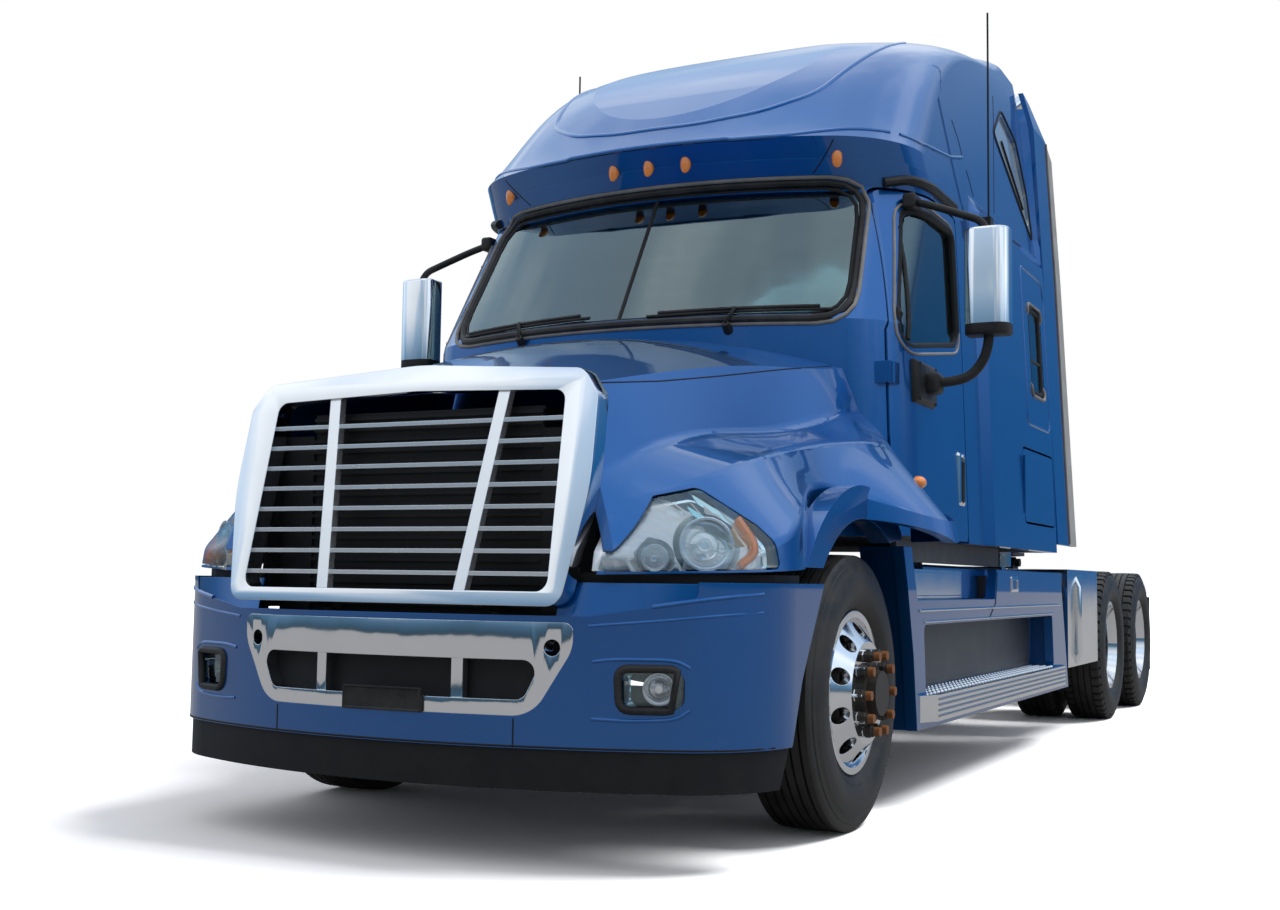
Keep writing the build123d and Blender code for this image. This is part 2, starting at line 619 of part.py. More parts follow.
def build_front_axle():
    """Drop beam with kingpin eyes, leaf springs and their hangers."""
    beam = front_outline([
        (-KINGPIN_X, 470), (-760, 470), (-640, 400), (640, 400), (760, 470), (KINGPIN_X, 470),
        (KINGPIN_X, 560), (740, 560), (620, 490), (-620, 490), (-740, 560), (-KINGPIN_X, 560),
    ], -50, 50)
    eye = rod_z(455, 575, KINGPIN_X, 0, 48)
    eye = eye + mirrored(eye)
    pin_hole = rod_z(400, 640, KINGPIN_X, 0, 22 + FIT)
    axle = beam + eye - pin_hole - mirrored(pin_hole)
    spring = side_outline([
        (-760, 660), (-400, 545), (0, 490), (400, 545), (760, 660), (760, 690), (400, 580), (0, 540), (-400, 580),
        (-760, 690),
    ], SPRING_X - 50, SPRING_X + 50)
    hangers = None
    for s in (-760, 760):
        hanger = block(SPRING_X - 30, SPRING_X + 30, s - 40, s + 40, 650, 800)
        foot = block(FRAME_HALF, SPRING_X + 30, s - 40, s + 40, 740, 900)
        hangers = hanger + foot if hangers is None else hangers + hanger + foot
    carried = spring + hangers
    save("front_axle", axle + carried + mirrored(carried))


def build_knuckles():
    """Steering knuckles: yoke round the kingpin and the wheel spindle."""
    yoke = block(KINGPIN_X - 45, KINGPIN_X + 45, -48, 48, 410, 452) + \
        block(KINGPIN_X - 45, KINGPIN_X + 45, -48, 48, 578, 620)
    stem = block(KINGPIN_X + 50, KINGPIN_X + 90, -60, 60, 410, 620)
    bridge = block(KINGPIN_X + 40, KINGPIN_X + 60, -48, 48, 410, 452) + \
        block(KINGPIN_X + 40, KINGPIN_X + 60, -48, 48, 578, 620)
    pin = rod_z(420, 610, KINGPIN_X, 0, 22)
    spindle = rod_x(KINGPIN_X + 80, FRONT_TYRE_X + SPINDLE_END, 0, AXLE_Z, SPINDLE_R)
    flange = rod_x(KINGPIN_X + 70, KINGPIN_X + 95, 0, AXLE_Z, 150)
    arm = block(KINGPIN_X - 20, KINGPIN_X + 20, 40, 200, 412, 440)
    knuckle = yoke + stem + bridge + pin + spindle + flange + arm
    save("knuckle_left", knuckle)
    save("knuckle_right", mirrored(knuckle))


# ---------------------------------------------------------------- wheels
# (outward X from the tyre's middle, radius)
TYRE_PROFILE = (
    (-106, RIM_R), (-107, RIM_FLANGE_R + 2), (-TYRE_WIDTH / 2, 395), (-118, TYRE_R - 8), (-100, TYRE_R),
    (100, TYRE_R), (118, TYRE_R - 8), (TYRE_WIDTH / 2, 395), (107, RIM_FLANGE_R + 2), (106, RIM_R),
)
SPINDLE_R = 38
SPINDLE_END = 175              # spindle tip from the tyre's middle
AXLE_TUBE_R = 60
DISC_OUTSET = 171.5            # outer face of a wheel's disc from the rim's middle, half the dual spacing
DISC_THICK = 22
LUG_LENGTH = 62
LUG_R = 17
HUB_CAP_R = 82
DRUM_R = 205
DRUM_WALL = 16
# (outward X from the tyre's middle, radius) of the conical disc
DISC_PROFILE = (
    (70, 274), (100, 274), (DISC_OUTSET, 188), (DISC_OUTSET, HUB_PILOT_R - 5),
    (DISC_OUTSET - DISC_THICK, HUB_PILOT_R - 5), (DISC_OUTSET - DISC_THICK, 176), (80, 262),
)
RIM_PROFILE = (
    (-120, RIM_FLANGE_R), (-107.5, RIM_FLANGE_R), (-107.5, RIM_R - FIT), (107.5, RIM_R - FIT),
    (107.5, RIM_FLANGE_R), (120, RIM_FLANGE_R), (120, RIM_R - 12), (60, RIM_R - 26), (-60, RIM_R - 26),
    (-120, RIM_R - 12),
)


def tyre(x, s):
    """Plain tyre round an axle line."""
    return revolved_x(TYRE_PROFILE, x, s, AXLE_Z)


def rim(x, s, outward=1):
    """Rim with its conical disc, which stands outward (1) or inward (-1) of the rim."""
    disc = [(outward * u, r) for u, r in DISC_PROFILE]
    body = revolved_x(RIM_PROFILE, x, s, AXLE_Z) + revolved_x(disc, x, s, AXLE_Z)
    hole = Pos(outward * (DISC_OUTSET - 35), 0, 226) * Rot(0, 90, 0) * Cylinder(HAND_HOLE_R, 110)
    return body - ring_of(hole, x, s, STUD_COUNT)


def ring_of(shape, x, s, count, turn=0.0):
    """Copies of a shape turned round the axle line."""
    result = None
    centre = Pos(x, sta(s), AXLE_Z)
    for index in range(count):
        turned = centre * Rot(turn + index * 360 / count, 0, 0) * shape
        result = turned if result is None else result + turned
    return result


def build_wheels():
    """Front wheels on the knuckles and the dual wheels of both driven axles."""
    face = FRONT_TYRE_X + DISC_OUTSET
    lug = Pos(LUG_LENGTH / 2 - 3, 0, STUD_CIRCLE_R) * Rot(0, 90, 0) * Cylinder(LUG_R, LUG_LENGTH + 6)
    hub = rod_x(FRONT_TYRE_X - 40, face + 20, 0, AXLE_Z, HUB_PILOT_R)
    hub = hub + rod_x(face, face + 55, 0, AXLE_Z, HUB_CAP_R)
    flange = rod_x(face - DISC_THICK - 25, face - DISC_THICK, 0, AXLE_Z, 172)
    drum = rod_x(FRONT_TYRE_X - 130, face - DISC_THICK - 25, 0, AXLE_Z, DRUM_R)
    drum = drum - rod_x(FRONT_TYRE_X - 131, face - DISC_THICK - 45, 0, AXLE_Z, DRUM_R - DRUM_WALL)
    wheel = rim(FRONT_TYRE_X, 0) + drum + flange + hub + ring_of(lug, face, 0, STUD_COUNT, 18)
    wheel = wheel - rod_x(FRONT_TYRE_X - 60, FRONT_TYRE_X + SPINDLE_END + 2, 0, AXLE_Z, SPINDLE_R + FIT)
    save("wheel_front_left", wheel)
    save("wheel_front_right", mirrored(wheel))
    front_tyre = tyre(FRONT_TYRE_X, 0)
    save("tyre_front_left", front_tyre)
    save("tyre_front_right", mirrored(front_tyre))

    inner_x = DUAL_OUTER_X - DUAL_SPACING
    face = DUAL_OUTER_X - DISC_OUTSET + DISC_THICK
    s = TANDEM_FRONT
    hub = rod_x(inner_x - 60, face + 70, s, AXLE_Z, HUB_PILOT_R) + rod_x(face + 60, face + 90, s, AXLE_Z, HUB_CAP_R)
    root = face - 2 * DISC_THICK
    drum = rod_x(inner_x - 90, root, s, AXLE_Z, DRUM_R) - rod_x(inner_x - 91, root - 20, s, AXLE_Z, DRUM_R - DRUM_WALL)
    wheels = rim(DUAL_OUTER_X, s, -1) + rim(inner_x, s) + drum + hub + ring_of(lug, face, s, STUD_COUNT, 18)
    wheels = wheels - rod_x(inner_x - 100, face + 61, s, AXLE_Z, AXLE_TUBE_R + FIT)
    pair = solids(tyre(DUAL_OUTER_X, s), tyre(inner_x, s))
    for label, shift in (("drive_front", 0), ("drive_rear", TANDEM_SPACING)):
        place = Pos(0, shift, 0)
        save(f"wheels_{label}_left", place * wheels)
        save(f"wheels_{label}_right", place * mirrored(wheels))
        save(f"tyres_{label}_left", place * pair)
        save(f"tyres_{label}_right", place * mirrored(pair))


def build_drive_axles():
    """Both driven axle housings with the driveshaft, and the air springs that carry the frame."""
    result = None
    inner_x = DUAL_OUTER_X - DUAL_SPACING
    face = DUAL_OUTER_X - DUAL_SPACING / 2
    for s in (TANDEM_FRONT, TANDEM_FRONT + TANDEM_SPACING):
        housing = rod_x(-face - 40, face + 40, s, AXLE_Z, AXLE_TUBE_R) + rod_y(s - 190, s + 170, 0, AXLE_Z, 180)
        housing = housing + rod_x(-560, 560, s, AXLE_Z, 75)
        result = housing if result is None else result + housing
    shaft = rod_y(1100, TANDEM_FRONT - 150, 0, 560, 50) + \
        rod_y(TANDEM_FRONT + 100, TANDEM_FRONT + TANDEM_SPACING - 100, 0, AXLE_Z, 45)
    carriers = None
    for s in (TANDEM_FRONT, TANDEM_FRONT + TANDEM_SPACING):
        arm = block(330, 400, s - 500, s + 330, 560, 640)
        hanger = block(FRAME_HALF - 90, FRAME_HALF, s - 520, s - 430, 560, RAIL_LOW)
        bag = rod_z(640, RAIL_LOW + 20, 372, s + 230, 120) & block(0, 700, s + 100, s + 360, 640, RAIL_LOW)
        piece = arm + hanger + bag
        carriers = piece if carriers is None else carriers + piece
    save("drive_axles", result + shaft + carriers + mirrored(carriers))


FIFTH_S = 6000
FIFTH_TOP = 1190
FIFTH_PLATE = 60
FIFTH_PIVOT_Z = 1080
FIFTH_CHEEK_R = 42             # rounded top of the pivot brackets, clear of the tilting plate
FIFTH_PIN_R = 30
KINGPIN_SEAT_R = 25.4
FIFTH_HALF = 465
FIFTH_LENGTH = 920


def build_fifth_wheel():
    """Slotted coupling plate on its pivot brackets."""
    x, half = FIFTH_HALF, FIFTH_LENGTH / 2
    plate = plan_outline([
        (-x, FIFTH_S - 260), (-330, FIFTH_S - half + 60), (330, FIFTH_S - half + 60), (x, FIFTH_S - 260),
        (x, FIFTH_S + 120), (260, FIFTH_S + half), (110, FIFTH_S + half), (KINGPIN_SEAT_R, FIFTH_S + 60),
        (KINGPIN_SEAT_R, FIFTH_S), (-KINGPIN_SEAT_R, FIFTH_S), (-KINGPIN_SEAT_R, FIFTH_S + 60),
        (-110, FIFTH_S + half), (-260, FIFTH_S + half), (-x, FIFTH_S + 120),
    ], FIFTH_TOP - FIFTH_PLATE, FIFTH_TOP)
    plate = plate - rod_z(FIFTH_TOP - 100, FIFTH_TOP + 10, 0, FIFTH_S, KINGPIN_SEAT_R)
    ear = block(330, 375, FIFTH_S - 70, FIFTH_S + 70, FIFTH_PIVOT_Z - 30, FIFTH_TOP - FIFTH_PLATE)
    ear = ear + rod_x(330, 375, FIFTH_S, FIFTH_PIVOT_Z, 45)
    pin = rod_x(300, 460, FIFTH_S, FIFTH_PIVOT_Z, FIFTH_PIN_R)
    save("fifth_wheel_plate", plate + ear + mirrored(ear) + pin + mirrored(pin))
    rail = block(FRAME_HALF - 90, FRAME_HALF, FIFTH_S - 430, FIFTH_S + 430, RAIL_TOP, RAIL_TOP + 25)
    cheek = block(385, 425, FIFTH_S - 90, FIFTH_S + 90, RAIL_TOP + 25, FIFTH_PIVOT_Z - 20)
    cheek = cheek + rod_x(385, 425, FIFTH_S, FIFTH_PIVOT_Z, FIFTH_CHEEK_R)
    base = rail + cheek - rod_x(380, 470, FIFTH_S, FIFTH_PIVOT_Z, FIFTH_PIN_R + FIT)
    deck = block(-FRAME_HALF, FRAME_HALF, FIFTH_S - 420, FIFTH_S - 340, RAIL_TOP + 25, RAIL_TOP + 37)
    save("fifth_wheel_base", base + mirrored(base) + deck)


# ---------------------------------------------------------------- sides
FAIRING_X = 1200
FAIRING_TOP = 1060
FAIRING_REAR = 3780
FAIRING_DECK = 985
FAIRING_SKIN = 50
FAIRING_INNER = FAIRING_X - 230
STEP_Z = 450
STEP_THICK = 20
UPPER_STEP_Z = 840
UPPER_STEP_THICK = 28
UPPER_STEP_END = 2050
BLOCK_START = 1150
BLOCK_X = 1110                 # outer face of the box on the upper step
RECESS_FLOOR_X = FAIRING_X - 150
SILL_X = 1245                  # outer edge of the lower step
SILL_LOW = 340
# station, Z
FAIRING_OUTLINE = (
    (500, FAIRING_TOP), (560, 900), (640, 620), (690, 310), (FAIRING_REAR + 120, 310),
    (FAIRING_REAR - 60, 900), (FAIRING_REAR - 60, FAIRING_DECK), (UPPER_STEP_END + 40, FAIRING_DECK),
    (UPPER_STEP_END, UPPER_STEP_Z), (700, UPPER_STEP_Z), (610, FAIRING_TOP),
)
RECESS_OUTLINE = ((790, 740), (820, STEP_Z), (3480, STEP_Z), (3440, 740))
# X, station
SILL_OUTLINE = ((FAIRING_X, 730), (SILL_X, 840), (SILL_X, 3580), (FAIRING_X, 3690))


def build_sides():
    """Step fairings, steps, tanks and the plates ahead of the drive wheels."""
    skin_x = FAIRING_X - FAIRING_SKIN
    rear = FAIRING_REAR - 60
    skin = side_outline(FAIRING_OUTLINE, skin_x, FAIRING_X)
    skin = skin - side_outline(RECESS_OUTLINE, skin_x - 10, FAIRING_X + 10, 30)
    skin = skin - block(skin_x - 10, FAIRING_X, 800, 3540, STEP_Z - STEP_THICK, STEP_Z + 2)
    front_wall = side_outline([(510, FAIRING_TOP), (570, 900), (650, 620), (700, 310), (730, 310), (680, 620), (600, 900),
                               (540, FAIRING_TOP)], 1010, skin_x)
    under = UPPER_STEP_Z - UPPER_STEP_THICK
    shelf = block(FAIRING_INNER, skin_x, 620, rear, under - 32, under)
    back = block(RECESS_FLOOR_X - 20, RECESS_FLOOR_X, 700, 3560, STEP_Z - 20, under - 32)
    rear_wall = block(RECESS_FLOOR_X - 20, skin_x, 3540, 3560, 310, under - 32)
    deck = block(FAIRING_INNER, skin_x, UPPER_STEP_END, rear, FAIRING_DECK - 30, FAIRING_DECK)
    inner = block(FAIRING_INNER, FAIRING_INNER + 30, UPPER_STEP_END, rear, under, FAIRING_DECK)
    box = side_outline([(BLOCK_START, UPPER_STEP_Z), (BLOCK_START - 60, FAIRING_DECK), (UPPER_STEP_END + 10, FAIRING_DECK),
                        (UPPER_STEP_END + 10, UPPER_STEP_Z)], FAIRING_INNER, BLOCK_X)
    fairing = skin + front_wall + shelf + back + rear_wall + deck + inner + box
    for s in (1330, 3400):
        fairing = fairing + block(FRAME_HALF, FAIRING_INNER + 30, s - 30, s + 30, 925, 965)
    save("step_fairings", both(fairing))
    tread = block(RECESS_FLOOR_X, FAIRING_X, 800, 3540, STEP_Z - STEP_THICK, STEP_Z)
    lower = tread + plan_outline(SILL_OUTLINE, SILL_LOW, STEP_Z)
    upper = block(FAIRING_INNER, skin_x, 720, UPPER_STEP_END, under, UPPER_STEP_Z)
    tank = rod_y(1500, 3350, 720, 650, 250)
    strap = None
    for s in (1800, 3000):
        band = rod_y(s - 40, s + 40, 720, 650, 254)
        bracket = block(FRAME_HALF, 720, s - 40, s + 40, 560, RAIL_TOP - 20)
        strap = band + bracket if strap is None else strap + band + bracket
    save("fuel_tanks", both(tank + strap))
    plate = block(FAIRING_X - 30, FAIRING_X, FAIRING_REAR + 130, TANDEM_FRONT - 560, 420, 990)
    shelf = block(FRAME_HALF, FAIRING_X, FAIRING_REAR + 130, TANDEM_FRONT - 560, 990, 1010)
    save("steps", both(solids(lower, upper, plate + shelf)))


EXTENDER_REAR = 3870
RUBBER_REAR = 4090
# (X, Z) of the extender's outer face, from its foot up
EXTENDER_FACE = ((1222, 1150), (1150, 2760), (1100, 3640), (1040, 3860))
STACK_X = 850
STACK_S = 3665
STACK_R = 64
STACK_BEND_Z = 3700            # where the stack begins to bend
STACK_BEND_R = 150
STACK_BEND = 50
STACK_TURN = 50                # direction of the tip, from straight outward to the rear


def build_extenders():
    """Side extenders behind the sleeper and their rubber edges, with the exhaust stack."""
    outline = [(CAB_REAR, 1150), (EXTENDER_REAR, 1150), (EXTENDER_REAR, 3640), (3640, 3820), (CAB_REAR, 3860)]
    inner_face = [(x - 30, z) for x, z in reversed(EXTENDER_FACE)]
    side = front_outline([*EXTENDER_FACE, *inner_face], CAB_REAR, RUBBER_REAR)
    extender = side_outline(outline, 800, FAR) & side
    save("side_extenders", both(extender))
    rubber = side_outline([(EXTENDER_REAR, 1150), (RUBBER_REAR, 1150), (RUBBER_REAR - 60, 3560), (EXTENDER_REAR, 3640)],
                          800, FAR) & side
    save("extender_rubbers", both(rubber))
    save("exhaust_stack", exhaust_stack())


def exhaust_stack():
    """Straight pipe with a bent open tip, on a foot that stands on the rail."""
    pipe = rod_z(RAIL_TOP + 20, STACK_BEND_Z, STACK_X, STACK_S, STACK_R)
    lean = math.radians(STACK_BEND)
    elbow = revolve(Circle(STACK_R), Axis((STACK_BEND_R, 0, 0), (0, 1, 0)), STACK_BEND)
    end = (STACK_BEND_R * (1 - math.cos(lean)), 0, STACK_BEND_R * math.sin(lean))
    mouth = Plane(origin=end, z_dir=(math.sin(lean), 0, math.cos(lean)))
    tip = mouth * Cylinder(STACK_R, 110, align=(Align.CENTER, Align.CENTER, Align.MIN))
    bore = mouth * Cylinder(STACK_R - 5, 120, align=(Align.CENTER, Align.CENTER, Align.MIN))
    top = Pos(STACK_X, sta(STACK_S), STACK_BEND_Z) * Rot(0, 0, STACK_TURN) * (elbow + tip - bore)
    foot = block(FRAME_HALF - 80, STACK_X + 20, STACK_S - 40, STACK_S + 40, RAIL_TOP, RAIL_TOP + 20)
    return pipe + top + foot


# ---------------------------------------------------------------- inside and heavy blocks
def build_inside():
    """Dashboard, seats, bunk, steering wheel and the engine block."""
    dash = side_outline([(460, 1150), (760, 1150), (820, 1750), (760, 1950), (560, 1960), (480, 1700)], -1020, 1020, 30)
    seats = None
    for x in (-560, 560):
        seat = block(x - 260, x + 260, 1200, 1700, CAB_FLOOR_Z + 50, 1560) + block(x - 250, x + 250, 1600, 1760, 1500, 2300)
        seats = seat if seats is None else solids(seats, seat)
    save("seats", solids(seats, block(-1040, 1040, 2500, 3400, CAB_FLOOR_Z + 50, 1700)))
    engine = block(-330, 330, -780, 200, 640, 1480)
    foot = block(330, FRAME_HALF - RAIL_WEB - FIT, -360, -240, 860, 940)
    save("engine_block", engine + foot + mirrored(foot))
    ring = Pos(-560, sta(960), 1990) * Rot(-65, 0, 0) * Torus(225, 16)
    hub = Pos(-560, sta(960), 1990) * Rot(-65, 0, 0) * (Cylinder(40, 40) + Box(440, 30, 14))
    save("steering_wheel", ring + hub)
    column = Pos(-560, sta(960), 1990) * Rot(-65, 0, 0) * Pos(0, 0, -20 - FIT - 150) * Cylinder(28, 300)
    save("dashboard", (dash & cab_body(WALL + 10)) + column)


# ---------------------------------------------------------------- small outside pieces
MARKER_Z = 2745
MARKER_R = 34
# X, station
MARKER_PLACES = ((-830, 745), (-180, 590), (0, 583), (180, 590), (830, 745))
ANTENNA_X = 1182
ANTENNA_S = 2040
MIRROR_X = 1450
MIRROR_S = 890
MIRROR_Z = (1990, 2420)


def build_small():
    """Mirrors, antennas, wipers, marker lamps, tail lamps and mud flaps."""
    housing = block(MIRROR_X - 95, MIRROR_X + 95, MIRROR_S - 55, MIRROR_S + 65, *MIRROR_Z)
    low_arm = rod_x(1140, MIRROR_X, MIRROR_S, 1870, 18) + rod_z(1870, 2000, MIRROR_X, MIRROR_S, 18)
    base = block(1120, 1190, MIRROR_S - 60, MIRROR_S + 60, 1790, 1900) - cab_body(-FIT)
    high_arm = rod_x(1090, MIRROR_X, MIRROR_S, 2500, 14) + rod_z(2410, 2500, MIRROR_X, MIRROR_S, 14) - cab_body(-FIT)
    mirror_left = housing + (low_arm - cab_body(-FIT)) + base + high_arm
    save("mirror_left", mirror_left)
    save("mirror_right", mirrored(mirror_left))
    base = block(1100, ANTENNA_X + 17, ANTENNA_S - 30, ANTENNA_S + 30, 2660, 2750) - cab_body(-FIT)
    save("antennas", both(rod_z(2740, 3810, ANTENNA_X, ANTENNA_S, 5) + base))
    skin = cab_body(-FIT) + shell_body(ROOF_SECTIONS, -FIT)
    domes = [Pos(x, sta(s), MARKER_Z) * Sphere(MARKER_R) - skin for x, s in MARKER_PLACES]
    outside = [dome.solids().sort_by(Axis.Y)[0] for dome in domes]
    tail = block(480, 640, 7400, 7430, 775, 835)
    save("lamps", solids(*outside, both(tail)))
    blades = front_outline([(150, 2035), (480, 2054), (480, 1990), (520, 1990), (520, 2056), (900, 2080),
                            (900, 2095), (150, 2055)], 200, 700)
    blades = blades & (cab_body(-18) - cab_body(-FIT))
    save("wipers", both(blades))
    flap = block(720, 1190, 7380, 7390, 250, 800)
    bar = block(FRAME_HALF, 1190, 7380, 7400, 800, 830)
    save("mud_flaps", both(flap + bar))


build_cab()
build_roof()
build_hood()
build_grille()
build_radiator()
build_bumper()
build_frame()
build_front_axle()
build_knuckles()
build_wheels()
build_drive_axles()
build_fifth_wheel()
build_sides()
build_extenders()
build_inside()
build_small()
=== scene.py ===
"""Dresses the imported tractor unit: its finishes, its small pieces, the floor, the lights and the camera."""

import json
import logging
import math
from dataclasses import dataclass, field
from enum import Enum
from typing import Any, Callable, Optional, Sequence

import bmesh
import bpy
from mathutils import Matrix, Vector
from mathutils.bvhtree import BVHTree


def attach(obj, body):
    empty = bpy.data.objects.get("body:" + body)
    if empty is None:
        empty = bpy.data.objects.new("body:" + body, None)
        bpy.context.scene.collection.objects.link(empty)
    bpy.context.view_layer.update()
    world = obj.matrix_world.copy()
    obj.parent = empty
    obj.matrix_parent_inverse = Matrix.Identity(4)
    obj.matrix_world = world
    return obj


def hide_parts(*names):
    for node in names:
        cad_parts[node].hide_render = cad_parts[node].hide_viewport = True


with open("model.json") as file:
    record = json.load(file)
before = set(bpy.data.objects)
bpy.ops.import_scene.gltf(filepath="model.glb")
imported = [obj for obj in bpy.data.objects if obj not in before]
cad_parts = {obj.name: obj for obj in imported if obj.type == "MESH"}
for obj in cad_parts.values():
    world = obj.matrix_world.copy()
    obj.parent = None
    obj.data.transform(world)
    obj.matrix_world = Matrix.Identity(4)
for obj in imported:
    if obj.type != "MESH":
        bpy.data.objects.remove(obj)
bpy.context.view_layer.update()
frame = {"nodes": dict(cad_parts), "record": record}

LOG = logging.getLogger("tractor_unit")
FRONT_AXLE = -3.07
WHEEL_Z = 0.508
DRIVE_FRONT = 5.48  # driven axles, behind the front axle
DRIVE_REAR = 6.80
TANDEM_SPACING = 1.32
FRONT_FACE = 1.2135  # mounting faces of the wheels, across the truck
DRIVE_FACE = 0.9225
Point = tuple[float, float, float]


def sta(behind: float) -> float:
    """Y of a place given in metres behind the front axle."""
    return FRONT_AXLE + behind


# ---------------------------------------------------------------- shader maths
class Slot(Enum):
    """The record's material slots."""

    PAINT = "blue_paint"
    CHROME = "chrome"
    POLISHED = "polished_aluminium"
    ALUMINIUM = "aluminium"
    TYRE = "tyre"
    BLACK = "black_plastic"
    RUBBER = "grey_rubber"
    GLASS = "glass"
    LENS = "lens"
    CHASSIS = "chassis_black"
    IRON = "cast_iron"
    AMBER = "amber"
    FABRIC = "fabric"
    GREY = "grey_plastic"


class Wire:
    """A shader socket that can be used in Python sums."""

    def __init__(self, tree: "Tree", socket: bpy.types.NodeSocket) -> None:
        """Keeps the socket and the tree it belongs to."""
        self.tree = tree
        self.socket = socket

    def _sum(self, operation: str, *values: Any) -> "Wire":
        """One Math node on these values."""
        return self.tree.node("ShaderNodeMath", {"operation": operation}, dict(enumerate(values)))

    def __add__(self, other: Any) -> "Wire":
        """self + other."""
        return self._sum("ADD", self, other)

    def __radd__(self, other: Any) -> "Wire":
        """other + self."""
        return self._sum("ADD", other, self)

    def __sub__(self, other: Any) -> "Wire":
        """self - other."""
        return self._sum("SUBTRACT", self, other)

    def __rsub__(self, other: Any) -> "Wire":
        """other - self."""
        return self._sum("SUBTRACT", other, self)

    def __mul__(self, other: Any) -> "Wire":
        """self * other."""
        return self._sum("MULTIPLY", self, other)

    def __rmul__(self, other: Any) -> "Wire":
        """other * self."""
        return self._sum("MULTIPLY", other, self)

    def __truediv__(self, other: Any) -> "Wire":
        """self / other."""
        return self._sum("DIVIDE", self, other)

    def __pow__(self, other: Any) -> "Wire":
        """self to a power."""
        return self._sum("POWER", self, other)

    def __gt__(self, other: Any) -> "Wire":
        """1 where self is more than other."""
        return self._sum("GREATER_THAN", self, other)

    def __lt__(self, other: Any) -> "Wire":
        """1 where self is less than other."""
        return self._sum("LESS_THAN", self, other)

    def __abs__(self) -> "Wire":
        """Size of self without its sign."""
        return self._sum("ABSOLUTE", self)

    def sine(self) -> "Wire":
        """Sine of self."""
        return self._sum("SINE", self)

    def clamped(self) -> "Wire":
        """self held between 0 and 1."""
        return self.tree.node("ShaderNodeClamp", {}, {0: self})


class Tree:
    """The nodes of a material or of the world, with one method that adds any of them."""

    def __init__(self, name: str, world: Optional[bpy.types.World] = None) -> None:
        """Starts an empty node tree.

        Args:
            name: Name of the new material.
            world: World whose nodes are filled instead of a material's.
        """
        self.material = world or bpy.data.materials.new(name)
        self.material.use_nodes = True
        self.tree = self.material.node_tree
        self.tree.nodes.clear()
        self._place: Optional[Wire] = None

    def node(self, kind: str, settings: Optional[dict] = None, inputs: Optional[dict] = None, out: Any = 0) -> Wire:
        """Adds a node.

        Args:
            kind: Type of the node.
            settings: Attributes set before its sockets; "stops" fills a colour ramp.
            inputs: Values or wires of its sockets, by name or number.
            out: Name or number of the output that is returned.

        Returns:
            The chosen output.
        """
        made = self.tree.nodes.new(kind)
        for key, value in (settings or {}).items():
            if key == "stops":
                ramp = made.color_ramp
                while len(ramp.elements) < len(value):
                    ramp.elements.new(0.5)
                for element, (place, colour) in zip(ramp.elements, value):
                    element.position = place
                    element.color = (*colour, 1.0) if not isinstance(colour, float) else (colour, colour, colour, 1.0)
            else:
                setattr(made, key, value)
        for key, value in (inputs or {}).items():
            socket = made.inputs[key]
            if isinstance(value, Wire):
                self.tree.links.new(value.socket, socket)
            elif socket.type == "RGBA" and len(value) == 3:
                socket.default_value = (*value, 1.0)
            else:
                socket.default_value = value
        return Wire(self, made.outputs[out])

    @property
    def place(self) -> Wire:
        """Object coordinates of the surface."""
        if self._place is None:
            self._place = self.node("ShaderNodeTexCoord", {}, {}, "Object")
        return self._place

    def axes(self, vector: Optional[Wire] = None) -> tuple[Wire, Wire, Wire]:
        """X, Y and Z of a vector, or of the place on the surface."""
        split = self.node("ShaderNodeSeparateXYZ", {}, {0: vector or self.place})
        return tuple(Wire(self, socket) for socket in split.socket.node.outputs)

    def noise(self, scale: float, detail: float = 3.0, rough: float = 0.55, stretch: Point = (1, 1, 1)) -> Wire:
        """Soft random pattern.

        Args:
            scale: Features in a metre.
            detail: Finer layers on top.
            rough: Strength of the finer layers.
            stretch: Scale of each axis.

        Returns:
            A value of about 0 to 1.
        """
        vector = self.place
        if stretch != (1, 1, 1):
            vector = self.node("ShaderNodeMapping", {}, {"Vector": vector, "Scale": stretch})
        return self.node("ShaderNodeTexNoise", {}, {"Vector": vector, "Scale": scale, "Detail": detail,
                                                    "Roughness": rough}, 0)

    def cells(self, scale: float) -> Wire:
        """Distance pattern of random cells, with so many in a metre."""
        return self.node("ShaderNodeTexVoronoi", {}, {"Vector": self.place, "Scale": scale}, "Distance")

    def ramp(self, value: Wire, stops: Sequence[tuple[float, Any]]) -> Wire:
        """Colours or greys along a value."""
        return self.node("ShaderNodeValToRGB", {"stops": stops}, {0: value})

    def mix(self, factor: Any, first: Any, second: Any) -> Wire:
        """Blend of two colours."""
        return self.node("ShaderNodeMix", {"data_type": "RGBA"}, {0: factor, 6: first, 7: second}, 2)

    def bump(self, height: Wire, strength: float, distance: float, normal: Optional[Wire] = None) -> Wire:
        """Normal raised by a height.

        Args:
            height: The height, 0 to 1.
            strength: Share of the effect.
            distance: Height of a step from 0 to 1, in metres.
            normal: Normal that it builds on.

        Returns:
            The new normal.
        """
        inputs = {"Height": height, "Strength": strength, "Distance": distance}
        if normal is not None:
            inputs["Normal"] = normal
        return self.node("ShaderNodeBump", {}, inputs)

    def rounded(self, radius: float) -> Wire:
        """Normal that rounds off sharp edges."""
        return self.node("ShaderNodeBevel", {"samples": 4}, {"Radius": radius})

    def shader(self, **inputs: Any) -> Wire:
        """Principled shader with these inputs, spaces written as underscores."""
        named = {key.replace("_", " "): value for key, value in inputs.items()}
        return self.node("ShaderNodeBsdfPrincipled", {}, named)

    def surface(self, **inputs: Any) -> bpy.types.Material:
        """Material of one principled shader."""
        return self.shown(self.shader(**inputs))

    def shown(self, shader: Wire) -> bpy.types.Material:
        """Gives the shader to the material's output."""
        output = self.tree.nodes.new("ShaderNodeOutputMaterial")
        self.tree.links.new(shader.socket, output.inputs["Surface"])
        return self.material


